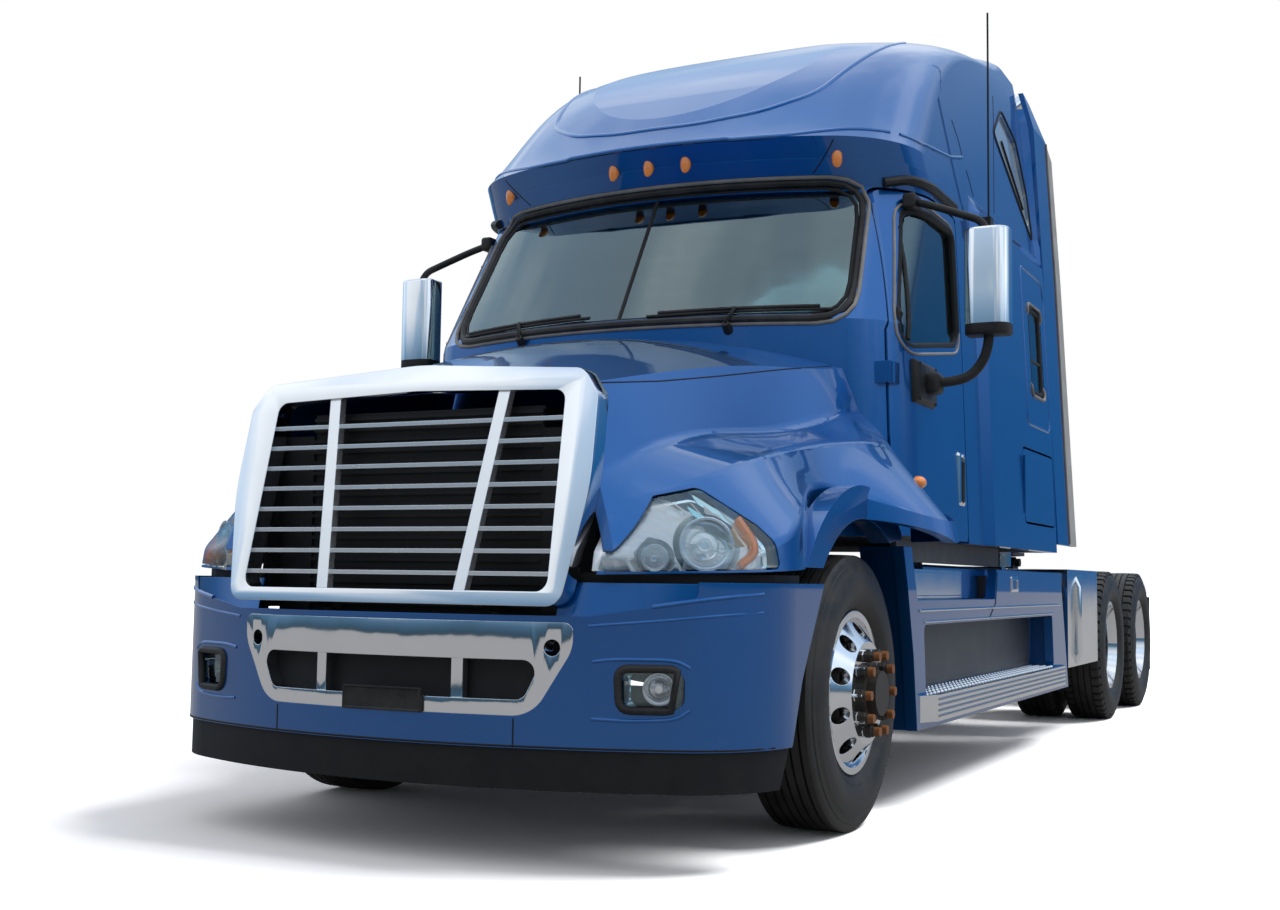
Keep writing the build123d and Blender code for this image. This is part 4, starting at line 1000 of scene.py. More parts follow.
def both_sides(piece: Bench, body: str, finish: Optional[Finish], slot: Slot, *nodes: str) -> None:
    """Places a left piece and its mirrored copy, with their bodies and nodes.

    Args:
        piece: The left piece, whose name ends in _left.
        body: Body of the left piece.
        finish: Its finish, or None if it already has its materials.
        slot: The record's slot.
        nodes: Nodes that the left piece replaces.
    """
    twin = piece.copied(piece.obj.name.replace("_left", "_right"), MIRRORED)
    piece.placed(body, finish, slot, *nodes)
    twin.placed(body.replace("_left", "_right"), finish, slot, *(node.replace("_left", "_right") for node in nodes))


def trim(name: str, path: Sequence[Any], radius: float, finish: Finish, slot: Slot, body: str = "chassis",
         rounded: bool = True, **shape: Any) -> None:
    """Lays a bar along a path, and its mirrored copy on the other side.

    Args:
        name: Name of the left bar.
        path: Points that it passes through.
        radius: Its radius.
        finish: Its finish.
        slot: The record's slot.
        body: Body of the left bar.
        rounded: Whether it is shaded smooth.
        shape: Further settings of Bench.tube.
    """
    bar = Bench.tube(name, path, radius, **shape)
    both_sides(bar.smooth() if rounded else bar, body, finish, slot)


def about_axle(angle: float, y: float) -> Matrix:
    """Turn about the cross axis through a wheel's centre."""
    centre = Vector((0, y, WHEEL_Z))
    return Matrix.Translation(centre) @ Matrix.Rotation(angle, 4, "X") @ Matrix.Translation(-centre)


# ---------------------------------------------------------------- wheels
class Tread(Enum):
    """Pattern of a tyre: centres of its grooves, and whether its shoulders have blocks."""

    RIBBED = ((-0.084, -0.048, -0.016, 0.016, 0.048, 0.084), False)
    BLOCKS = ((-0.062, -0.021, 0.021, 0.062), True)


@dataclass
class Tyres:
    """Truck tyres with grooves, shoulder blocks and moulded sidewall rings."""

    front_x: float = 1.042
    outer_x: float = 1.072
    dual_spacing: float = 0.343
    steps: int = 150
    radius: float = WHEEL_Z
    groove_half: float = 0.0045
    groove_depth: float = 0.013
    shoulder: tuple[tuple[float, float], ...] = (
        (0.1120, 0.5050), (0.1190, 0.4990), (0.1235, 0.4890), (0.1255, 0.4770), (0.1300, 0.4740), (0.1330, 0.4610),
        (0.1385, 0.4500), (0.1400, 0.4470), (0.1385, 0.4440), (0.1460, 0.4200), (0.1475, 0.3980), (0.1462, 0.3740),
        (0.1420, 0.3480), (0.1370, 0.3400), (0.1385, 0.3360), (0.1300, 0.3220), (0.1210, 0.3120), (0.1135, 0.3060),
        (0.1105, 0.3020), (0.1060, 0.2860))

    def section(self, tread: Tread) -> list[tuple[float, float]]:
        """Closed section from bead to bead, with the tread's grooves."""
        crown: list[tuple[float, float]] = []
        for middle in tread.value[0]:
            top = self.radius - 0.003 * (middle / 0.112) ** 2
            half, low = self.groove_half, top - self.groove_depth
            crown += [(middle - half, top), (middle - half * 0.6, low), (middle + half * 0.6, low),
                      (middle + half, top)]
        left = [(-out, reach) for out, reach in reversed(self.shoulder)]
        return left + crown + list(self.shoulder) + [left[0]]

    def tyre(self, name: str, x: float, y: float, tread: Tread) -> Bench:
        """One tyre about its own middle.

        Args:
            name: Name of the piece.
            x: Middle of the tyre across the truck.
            y: Its axle line.
            tread: Its pattern.

        Returns:
            The bench with the tyre.
        """
        centre = (x, y, WHEEL_Z)
        tyre = Bench.turned(name, centre, self.section(tread), self.steps)
        if tread.value[1]:
            step = math.tau / self.steps

            def is_groove(face: Any) -> bool:
                """Every third step of the shoulders."""
                place = face.calc_center_median() - Vector(centre)
                reach = math.hypot(place.y, place.z)
                turn = int((math.atan2(place.z, place.y) % math.tau) / step)
                return turn % 3 == 0 and abs(place.x) > 0.068 and reach > 0.478

            tyre.stepped(is_groove, (0.0015, -0.011))
        return tyre.smooth(28)

    def build(self) -> None:
        """Dresses the two front tyres and the eight driven ones."""
        front = self.tyre("tyre_tread_front_left", self.front_x, FRONT_AXLE, Tread.RIBBED)
        both_sides(front, "front_wheel_left", RUBBER, Slot.TYRE, "tyre_front_left")
        outer = self.tyre("tyre_treads_drive_front_left", self.outer_x, sta(DRIVE_FRONT), Tread.BLOCKS)
        inner = outer.copied("inner", Matrix.Translation((-self.dual_spacing, 0, 0)))
        pair = outer.joined(inner)
        rear = pair.copied("tyre_treads_drive_rear_left", Matrix.Translation((0, TANDEM_SPACING, 0)))
        both_sides(pair, "drive_front_left", RUBBER, Slot.TYRE, "tyres_drive_front_left")
        both_sides(rear, "drive_rear_left", RUBBER, Slot.TYRE, "tyres_drive_rear_left")


@dataclass(frozen=True)
class WheelMetal(Finish):
    """Polished wheel with dark studs, hub and drum."""

    name: str = "wheel_metal"
    axle_y: float = FRONT_AXLE
    face: float = FRONT_FACE

    def build(self, tree: Tree) -> bpy.types.Material:
        """Turned polish on the disc, black hub, dark nuts with rusty ends and an iron drum."""
        x, y, z = tree.axes()
        reach = ((y - self.axle_y) ** 2 + (z - WHEEL_Z) ** 2) ** 0.5
        out = abs(x)
        nut = (abs(reach - 0.143) < 0.021) * (out > self.face + 0.002)
        tip = nut * (out > self.face + 0.040)
        hub = (reach < 0.113) * (out > self.face - 0.012)
        drum = (reach < 0.21) * (out < self.face - 0.030)
        dark = (nut + hub + drum).clamped()
        turned = (reach * 2600.0).sine() * 0.5 + 0.5
        smear = tree.noise(9.0, 4.0)
        bright = tree.mix(smear, (0.83, 0.84, 0.85), (0.72, 0.73, 0.75))
        grime = tree.noise(70.0, 5.0, 0.7)
        iron = tree.mix(grime, (0.018, 0.017, 0.016), (0.06, 0.05, 0.04))
        rust = tree.mix(grime, (0.13, 0.055, 0.02), (0.35, 0.13, 0.04))
        colour = tree.mix(tip, tree.mix(dark, bright, iron), rust)
        rough = dark * (grime * 0.2 + 0.3) + smear * 0.06 + 0.09
        normal = tree.bump(turned, 0.06, 0.0004, tree.rounded(0.003))
        return tree.surface(Base_Color=colour, Metallic=1.0 - dark * 0.75, Roughness=rough, Normal=normal)


@dataclass
class WheelNuts:
    """Hexagon nuts, hub ring and cap of each wheel."""

    circle: float = 0.142875
    count: int = 10
    across: float = 0.024

    def nut(self, face: float, y: float) -> Bench:
        """One flanged nut at the top of the circle."""
        nut = Bench.drum("nut", (face + 0.014, y, WHEEL_Z + self.circle), self.across, 0.030, sides=6)
        nut.stepped(lambda f: f.normal.x > 0.9, (0.003, 0.002), (0.001, 0.008))
        nut.stepped(lambda f: f.normal.x < -0.9, (-0.005, 0.0))
        return nut

    def cap(self, face: float, y: float) -> Bench:
        """Stepped hub cap with a ring of bolts."""
        section = [(0.0, 0.108), (0.012, 0.1085), (0.014, 0.104), (0.014, 0.088), (0.040, 0.086), (0.064, 0.084),
                   (0.069, 0.079), (0.069, 0.060), (0.062, 0.056), (0.062, 0.030), (0.068, 0.026), (0.068, 0.0005)]
        cap = Bench.turned("cap", (face, y, WHEEL_Z), section, 48)
        bolt = Bench.drum("bolt", (face + 0.017, y, WHEEL_Z + 0.097), 0.0065, 0.012, sides=6)
        bolt.stepped(lambda f: f.normal.x > 0.9, (0.0015, 0.0015))
        ring = [bolt.copied("bolt_copy", about_axle(index * math.tau / 8, y)) for index in range(1, 8)]
        return cap.joined(bolt, *ring).smooth()

    def wheel(self, name: str, face: float, y: float) -> Bench:
        """All nuts and the cap of one wheel as one piece."""
        nut = self.nut(face, y)
        turn = math.tau / self.count
        others = [nut.copied("nut_copy", about_axle(turn * (index + 0.5), y)) for index in range(self.count - 1)]
        first = nut.copied("nut_first", about_axle(turn * (self.count - 0.5), y))
        bpy.data.objects.remove(nut.obj)
        cap = self.cap(face, y)
        cap.obj.name = cap.obj.data.name = name
        return cap.joined(first, *others)

    def build(self) -> None:
        """Puts nuts and caps on the six wheels."""
        front = self.wheel("wheel_nuts_front_left", FRONT_FACE, FRONT_AXLE)
        both_sides(front, "front_wheel_left", WheelMetal("front_nut_metal"), Slot.IRON)
        drive = self.wheel("wheel_nuts_drive_front_left", DRIVE_FACE, sta(DRIVE_FRONT))
        rear = drive.copied("wheel_nuts_drive_rear_left", Matrix.Translation((0, TANDEM_SPACING, 0)))
        both_sides(drive, "drive_front_left", WheelMetal("drive_nut_metal", sta(DRIVE_FRONT), DRIVE_FACE), Slot.IRON)
        both_sides(rear, "drive_rear_left", WheelMetal("rear_nut_metal", sta(DRIVE_REAR), DRIVE_FACE), Slot.IRON)


# ---------------------------------------------------------------- lamps
@dataclass
class Headlamps:
    """Reflectors, bulbs and amber strip behind each clear lens."""

    beam: Point = (0.978, sta(-0.955), 1.025)
    beam_radius: float = 0.088
    dip: Point = (0.854, sta(-1.075), 0.980)
    dip_radius: float = 0.044
    facing: Point = (0.50, -0.86, 0.05)

    def bowl(self, name: str, centre: Point, radius: float, depth: float) -> Bench:
        """Stepped reflector with a bulb holder, open to the front."""
        bowl = Bench.drum(name, centre, radius * 0.55, depth, self.facing, 24, radius)
        facing = Vector(self.facing).normalized()
        bowl.stepped(lambda f: f.normal.dot(facing) > 0.95,
                     (radius * 0.10, 0.0), (radius * 0.06, -depth * 0.30), (radius * 0.08, 0.0),
                     (radius * 0.22, -depth * 0.42), (radius * 0.26, -depth * 0.12), (radius * 0.04, depth * 0.35),
                     (radius * 0.05, depth * 0.04))
        return bowl

    def housing(self) -> Bench:
        """Bright housing with a pocket bored for each reflector."""
        housing = Bench.of_node("headlamp_shells", "headlamp_bodies")
        facing = Vector(self.facing).normalized()
        for side in Side:
            mirror = Vector((side.value, 1, 1))
            for place, radius in ((self.beam, self.beam_radius + 0.012), (self.dip, self.dip_radius + 0.008)):
                start = Vector(place) * mirror
                axis = facing * mirror
                pocket = Bench.drum("pocket", start + axis * 0.07, radius, 0.20, axis, 32, radius + 0.022)
                housing.modifier("BOOLEAN", object=pocket.obj, operation="DIFFERENCE", solver="EXACT")
                bpy.data.objects.remove(pocket.obj)
        return housing.smooth(25)

    def build(self) -> None:
        """Fits housing, reflectors and strips."""
        self.housing().placed("hood", LAMP_SILVER, Slot.CHROME, "headlamp_bodies")
        beam = self.bowl("beam_reflector_left", self.beam, self.beam_radius, 0.085)
        both_sides(beam, "hood", REFLECTOR, Slot.CHROME)
        dip = self.bowl("dip_reflector_left", self.dip, self.dip_radius, 0.055)
        both_sides(dip, "hood", REFLECTOR, Slot.CHROME)
        lens = Skin(("headlamp_lenses",))
        path = [(-0.888, 1.165), (-0.890, 1.120), (-0.905, 1.055), (-0.935, 0.995), (-0.975, 0.962)]
        strip = lens.side_run(Side.LEFT, path, lift=-0.016, corner=0.02)
        trim("turn_strip_left", strip, 0.014, AMBER, Slot.AMBER, "hood", rounded=False, sides=4)


@dataclass
class BodyLamps:
    """Roof markers, cowl lamps, fog lamp bowls and tail lamps."""

    markers: tuple[tuple[float, float], ...] = ((-0.83, 2.760), (-0.18, 2.765), (0.0, 2.765), (0.18, 2.765),
                                                (0.83, 2.760))

    @staticmethod
    def pod(name: str, centre: Sequence[float], radii: Point, outward: Vector) -> Bench:
        """Smooth lamp cover with a small flange, cut flat at its back."""
        deselect()
        bpy.ops.mesh.primitive_uv_sphere_add(segments=24, ring_count=16, radius=1.0, location=centre, scale=radii)
        pod = Bench._taken(name)
        back = Vector(centre) - outward * 0.004
        with pod.editing():
            bpy.ops.mesh.select_all(action="SELECT")
            bpy.ops.mesh.bisect(plane_co=back, plane_no=-outward, clear_outer=True, use_fill=True)
            pod.pick(lambda f: f.normal.dot(-outward) > 0.99)
            bpy.ops.mesh.inset(thickness=-0.004, depth=0.0)
            bpy.ops.mesh.inset(thickness=0.0, depth=0.004)
        return pod.smooth()

    def build(self) -> None:
        """Fits all the small lamps."""
        brow = Skin(("roof_cap", "cab_front"))
        for index, (across, height) in enumerate(self.markers):
            place = brow.front(across, height, 0.004)
            outward = Vector((0.55 * across, -1, 0.35)).normalized()
            pod = self.pod(f"roof_marker_{index + 1}", place, (0.024, 0.022, 0.048), outward)
            pod.placed("chassis", AMBER, Slot.AMBER, *(("lamps",) if index == 0 else ()))
        cowl = Skin(("hood",)).side(Side.LEFT, 0.45, 1.31, 0.004)
        lamp = self.pod("cowl_lamp_left", cowl, (0.030, 0.046, 0.026), Vector((1, 0, 0)))
        both_sides(lamp, "hood", AMBER, Slot.AMBER)
        tail = Bench.block("tail_lamp_left", (0.480, sta(7.400), 0.775), (0.640, sta(7.428), 0.835))
        tail.stepped(lambda f: f.normal.y > 0.9, (0.006, 0.0), (0.004, 0.006))
        both_sides(tail.softened(0.004), "chassis", RED, Slot.AMBER)
        face = Vector((0.42, -0.90, 0.0)).normalized()
        bowl = Bench.drum("fog_bowl_left", (0.882, sta(-1.085), 0.570), 0.035, 0.045, face, 24, 0.052)
        bowl.stepped(lambda f: f.normal.dot(face) > 0.95,
                     (0.004, 0.0), (0.014, -0.022), (0.018, -0.010), (0.003, 0.018))
        both_sides(bowl, "chassis", REFLECTOR, Slot.CHROME)


# ---------------------------------------------------------------- cab trim
@dataclass
class Windscreen:
    """Rubber gasket, middle bar and wipers."""

    foot: tuple[float, float] = (0.998, 1.978)
    head: tuple[float, float] = (0.938, 2.688)
    corner: float = 0.15

    def loop(self, inward: float) -> list[tuple[float, float]]:
        """Outline of the glass, moved inward by a distance."""
        (foot, low), (head, high) = self.foot, self.head
        return [(-foot + inward, low + inward), (foot - inward, low + inward), (head - inward, high - inward),
                (-head + inward, high - inward)]

    def build(self) -> None:
        """Lays gasket, bar and wipers on the front of the cab."""
        face = Skin(("cab_front", "cab_glass"))
        # The pale lip tube is a painted highlight along the gasket's outer edge; the two black tubes are the rubber
        # itself.
        for name, inward, radius, lift, finish in (
                ("windscreen_gasket_lip_highlight", 0.0, 0.009, 0.002, EDGE_GREY_AND_HIGHLIGHT),
                ("windscreen_gasket", 0.022, 0.019, -0.004, BLACK),
                ("windscreen_gasket_inner", 0.044, 0.010, -0.004, DEEP_BLACK)):
            path = face.front_run(self.loop(inward), lift, True, 0.03, self.corner)
            Bench.tube(name, path, radius, True).smooth().placed("chassis", finish, Slot.BLACK)
        bar = Bench.tube("windscreen_bar", face.front_run([(0, 1.99), (0, 2.68)], -0.004), 0.011)
        bar.placed("chassis", DEEP_BLACK, Slot.BLACK)
        for name, start, stop, pivot in (("wiper_left", 0.14, 0.90, 0.50), ("wiper_right", -0.90, -0.14, -0.50)):
            blade = Bench.tube(name, face.front_run([(start, 2.020), (stop, 2.034)], 0.016), 0.007)
            spine = Bench.tube("spine", face.front_run([(start + 0.05, 2.030), (stop - 0.05, 2.044)], 0.022), 0.008)
            rise = Vector((0, -0.03, 0.02))
            foot = face.front(pivot, 1.965, 0.0)
            arm = Bench.tube("arm", [foot, foot + rise, face.front((start + stop) / 2, 2.036, 0.03)], 0.008)
            cap = Bench.drum("cap", foot + Vector((0, -0.012, 0)), 0.022, 0.05, (0, -0.8, 0.6), 20, 0.016)
            blade.joined(spine, arm, cap.softened(0.004)).placed("chassis", BLACK, Slot.BLACK,
                                                                *(("wipers",) if name == "wiper_left" else ()))


@dataclass
class DoorTrim:
    """Window frame, vent bar, visor strip and handle of a door."""

    frame_line: tuple[tuple[float, float], ...] = ((0.618, 1.972), (0.922, 2.592), (1.535, 2.592), (1.535, 1.990),
                                                   (0.712, 1.870))
    seal_line: tuple[tuple[float, float], ...] = ((0.650, 1.978), (0.945, 2.560), (1.502, 2.560), (1.502, 2.020),
                                                  (0.724, 1.902))

    def handle(self, door: Skin) -> Bench:
        """Recessed handle with a bright rim and a pull bar."""
        middle = door.side(Side.LEFT, 1.485, 1.39)
        low = (middle.x - 0.03, sta(1.425), 1.265)
        high = (middle.x + 0.008, sta(1.545), 1.520)
        plate = Bench.block("door_handle_left", low, high).softened(0.018, 4)
        plate.stepped(lambda f: f.normal.x > 0.98 and f.calc_area() > 0.004, (0.008, 0.002), (0.003, -0.024))
        plate.two_finishes(CHROME, DEEP_BLACK, lambda f: f.center.x < middle.x - 0.012 and abs(f.normal.x) > 0.9)
        pull = Bench.tube("pull", [(middle.x + 0.002, sta(1.485), z) for z in (1.285, 1.30, 1.46, 1.475)], 0.013)
        keyhole = Bench.drum("key", (middle.x + 0.006, sta(1.485), 1.498), 0.010, 0.014, sides=20)
        return plate.joined(pull.coloured(BLACK), keyhole.softened(0.002).coloured(CHROME))

    def build(self) -> None:
        """Dresses both doors."""
        door = Skin(("door_left", "door_glass_left"))
        line = door.side_run(Side.LEFT, self.frame_line, 0.0, True, 0.03, 0.10)
        trim("window_frame_left", line, 0.007, EDGE_GREY_AND_HIGHLIGHT, Slot.CHROME, "door_left", closed=True)
        seal = door.side_run(Side.LEFT, self.seal_line, -0.004, True, 0.03, 0.07)
        trim("window_seal_left", seal, 0.020, DEEP_BLACK, Slot.BLACK, "door_left", closed=True)
        bar = door.side_run(Side.LEFT, [(0.885, 2.46), (0.745, 1.94)], 0.0)
        trim("vent_bar_left", bar, 0.012, BLACK, Slot.BLACK, "door_left", rounded=False)
        both_sides(self.handle(door), "door_left", None, Slot.CHROME)
        cab = Skin(("cab_front", "door_left", "sleeper_left"))
        visor = cab.side_run(Side.LEFT, [(0.905, 2.672), (0.99, 2.697), (1.56, 2.697)], 0.006, corner=0.03)
        trim("drip_visor_left", visor, 0.022, BLACK, Slot.BLACK)


@dataclass
class Mirrors:
    """Bright mirror heads on bent black arms."""

    x: float = 1.450
    y: float = sta(0.895)
    low: float = 1.995
    high: float = 2.420

    def head(self) -> Bench:
        """Rounded head with a black cap below and the glass at the back."""
        head = Bench.block("mirror_head_left", (self.x - 0.096, self.y - 0.064, self.low - 0.035),
                           (self.x + 0.096, self.y + 0.060, self.high))
        with head.editing():
            head.pick(lambda e: abs(e.verts[0].co.z - e.verts[1].co.z) > 0.2 and e.verts[0].co.y < self.y, "edges")
            bpy.ops.mesh.bevel(offset=0.058, segments=7)
            head.pick(lambda e: abs(e.verts[0].co.z - e.verts[1].co.z) > 0.2 and e.verts[0].co.y > self.y, "edges")
            bpy.ops.mesh.bevel(offset=0.022, segments=4)
            head.pick(lambda e: abs(e.verts[0].co.z - e.verts[1].co.z) < 0.001
                      and (e.verts[0].co.z > self.high - 0.001 or e.verts[0].co.z < self.low - 0.034), "edges")
            bpy.ops.mesh.bevel(offset=0.012, segments=3)
            head.pick(lambda f: f.normal.y > 0.98 and f.calc_area() > 0.03)
            bpy.ops.mesh.inset(thickness=0.006, depth=0.0)
            bpy.ops.mesh.inset(thickness=0.002, depth=-0.008)
            bpy.ops.mesh.select_all(action="SELECT")
            bpy.ops.mesh.bisect(plane_co=(0, 0, self.low + 0.012), plane_no=(0, 0, 1))
        head.two_finishes(CHROME, BLACK, lambda f: f.center.z < self.low + 0.012)
        head.painted(MIRROR_GLASS, lambda f: f.normal.y > 0.98 and f.center.y < self.y + 0.055)
        return head.smooth(40)

    def arms(self) -> Bench:
        """Base plate, lower arm and upper strut."""
        door = Skin(("door_left",))
        foot = door.side(Side.LEFT, 0.89, 1.765)
        plate = Bench.block("mirror_arms_left", (foot.x - 0.035, sta(0.74), 1.672),
                            (foot.x + 0.010, sta(1.045), 1.858))
        plate.stepped(lambda f: f.normal.x > 0.9, (0.016, 0.014), (0.020, 0.006))
        plate.softened(0.008)
        knuckle = Bench.block("knuckle", (foot.x, sta(0.84), 1.720), (foot.x + 0.085, sta(0.945), 1.812))
        knuckle.softened(0.022)
        lower = Bench.tube("lower", [(foot.x + 0.03, sta(0.892), 1.768), (foot.x + 0.14, sta(0.892), 1.768),
                                     (1.395, sta(0.892), 1.800), (1.455, sta(0.892), 1.900),
                                     (1.455, sta(0.892), 1.985)], 0.021, sides=5, smooth=True)
        top = door.side(Side.LEFT, 0.99, 2.605)
        upper = Bench.tube("upper", [(top.x - 0.01, sta(0.99), 2.600), (top.x + 0.06, sta(0.97), 2.585),
                                     (1.36, sta(0.905), 2.485), (1.43, sta(0.892), 2.455),
                                     (1.45, sta(0.892), 2.405)], 0.017, sides=5, smooth=True)
        hood = Bench.block("cover", (top.x - 0.01, sta(0.93), 2.555), (top.x + 0.05, sta(1.05), 2.625)).softened(0.016)
        bolts = [Bench.drum("bolt", (foot.x + 0.020, sta(s), z), 0.007, 0.016, sides=12)
                 for s in (0.77, 1.015) for z in (1.69, 1.84)]
        return plate.joined(knuckle, lower, upper, hood, *bolts).smooth(40)

    def build(self) -> None:
        """Fits both mirrors."""
        both_sides(self.head(), "door_left", None, Slot.CHROME, "mirror_left")
        both_sides(self.arms(), "door_left", BLACK, Slot.BLACK)


@dataclass
class Seams:
    """Panel seams and feature lines of the cab and roof."""

    width: float = 0.0035

    def build(self) -> None:
        """Draws every seam."""
        roof = Skin(("roof_cap", "cab_front", "sleeper_left", "side_extenders"))
        seams = {
            "roof_rear_seam_left": [(2.78, 3.62), (2.722, 3.465), (2.596, 3.167), (2.471, 2.878)],
            "roof_corner_seam_left": [(1.925, 2.975), (1.975, 2.925), (2.022, 2.862)],
            "brow_top_seam_left": [(1.731, 3.178), (1.828, 3.104), (1.872, 3.030), (1.800, 2.998)],
        }
        for name, path in seams.items():
            seam = roof.side_run(Side.LEFT, path, -0.0015, corner=0.03)
            trim(name, seam, self.width, DEEP_BLACK, Slot.BLACK, sides=2)
        ridge = [(0.95, 2.893), (1.092, 2.885), (1.613, 2.958), (1.862, 3.023)]
        trim("brow_ridge_side_left", roof.side_run(Side.LEFT, ridge, -0.004, corner=0.05), 0.011, PAINT, Slot.PAINT,
             sides=2)
        front = [(-1.02, 2.893), (-0.896, 2.889), (-0.645, 2.848), (-0.363, 2.839), (0.363, 2.839), (0.645, 2.848),
                 (0.896, 2.889), (1.02, 2.893)]
        Bench.tube("brow_ridge", roof.front_run(front, -0.004, corner=0.05), 0.011, sides=2).smooth().placed(
            "chassis", PAINT, Slot.PAINT)
        crown = [(-0.84, 3.600), (-0.802, 3.400), (-0.690, 3.120), (-0.474, 3.005), (-0.200, 2.957), (0.200, 2.957),
                 (0.474, 3.005), (0.690, 3.120), (0.802, 3.400), (0.84, 3.600)]
        Bench.tube("roof_panel_ridge", roof.front_run(crown, -0.006, corner=0.08), 0.014, sides=3).smooth().placed(
            "chassis", PAINT, Slot.PAINT)
        brow = roof.front_run([(0.720, 2.703), (0.757, 2.739), (0.812, 2.800), (0.850, 2.850)], -0.0015)
        trim("brow_corner_seam_left", brow, self.width, DEEP_BLACK, Slot.BLACK, sides=2)


@dataclass
class SleeperWindows:
    """Frames of the sleeper's side windows, their pressed panels and the seals of the roof's panes."""

    pane: tuple[tuple[float, float], ...] = ((2.960, 1.960), (3.300, 1.960), (3.300, 2.480), (2.960, 2.480))
    panel: tuple[tuple[float, float], ...] = ((2.830, 1.790), (3.405, 1.790), (3.405, 2.600), (3.340, 2.665),
                                              (2.830, 2.665))
    rim: tuple[tuple[float, float], ...] = ((2.675, 3.385), (2.945, 3.590), (3.275, 3.490), (3.425, 3.200),
                                            (3.445, 2.920))

    def build(self) -> None:
        """Dresses both sides."""
        wall = Skin(("sleeper_left", "cab_glass"))
        for name, path, lift, radius, corner, finish, slot in (
                ("sleeper_panel_edge_left", self.panel, -0.004, 0.009, 0.05, PAINT, Slot.PAINT),
                ("sleeper_window_frame_left", self.pane, 0.001, 0.009, 0.05, EDGE_GREY_AND_HIGHLIGHT, Slot.CHROME)):
            trim(name, wall.side_run(Side.LEFT, path, lift, True, 0.03, corner), radius, finish, slot, closed=True)
        inner = [(2.984, 1.984), (3.276, 1.984), (3.276, 2.456), (2.984, 2.456)]
        seal = wall.side_run(Side.LEFT, inner, -0.004, True, 0.02, 0.05)
        trim("sleeper_window_seal_left", seal, 0.017, DEEP_BLACK, Slot.BLACK, closed=True)
        bar = wall.side_run(Side.LEFT, [(2.975, 2.165), (3.285, 2.165)], -0.002)
        trim("sleeper_window_bar_left", bar, 0.010, BLACK, Slot.BLACK, rounded=False)
        roof = Skin(("roof_cap",))
        rim = roof.side_loop(Side.LEFT, self.rim, -0.001, 0.06)
        trim("roof_pane_seal_left", rim, 0.008, DEEP_BLACK, Slot.BLACK, closed=True)
        brace = roof.side_run(Side.LEFT, [(2.93, 3.40), (3.33, 3.10)], 0.002)
        trim("roof_pane_bar_left", brace, 0.008, DEEP_BLACK, Slot.BLACK, rounded=False)


@dataclass(frozen=True)
class RoofPaint(MetallicPaint):
    """The cab's paint, with the upper panes' glass let into it, its pale grey-blue a painted sky reflection."""

    name: str = "roof_paint"
    corners: tuple[tuple[float, float], ...] = ((2.700, 3.380), (2.950, 3.560), (3.250, 3.470), (3.400, 3.200),
                                                (3.420, 2.960))

    def build(self, tree: Tree) -> bpy.types.Material:
        """Paint outside the panes' outline and glass within it."""
        _, y, z = tree.axes()
        inside: Any = 1.0
        turned = self.corners[1:] + self.corners[:1]
        for (s0, z0), (s1, z1) in zip(self.corners, turned):
            side = (z - z0) * (s1 - s0) - (y - sta(s0)) * (z1 - z0)
            inside = (side < 0.0) * inside
        # The panes' pale grey-blue base colour is a painted reflection of the sky; the clear coat on it adds a real
        # one.
        glass = tree.node("ShaderNodeBsdfPrincipled", {}, {
            "Base Color": (0.30, 0.38, 0.44), "Roughness": tree.noise(6.0, 4.0) * 0.05 + 0.03, "Coat Weight": 1.0})
        both = tree.node("ShaderNodeMixShader", {}, {0: inside, 1: self.coat(tree), 2: glass})
        return tree.shown(both)


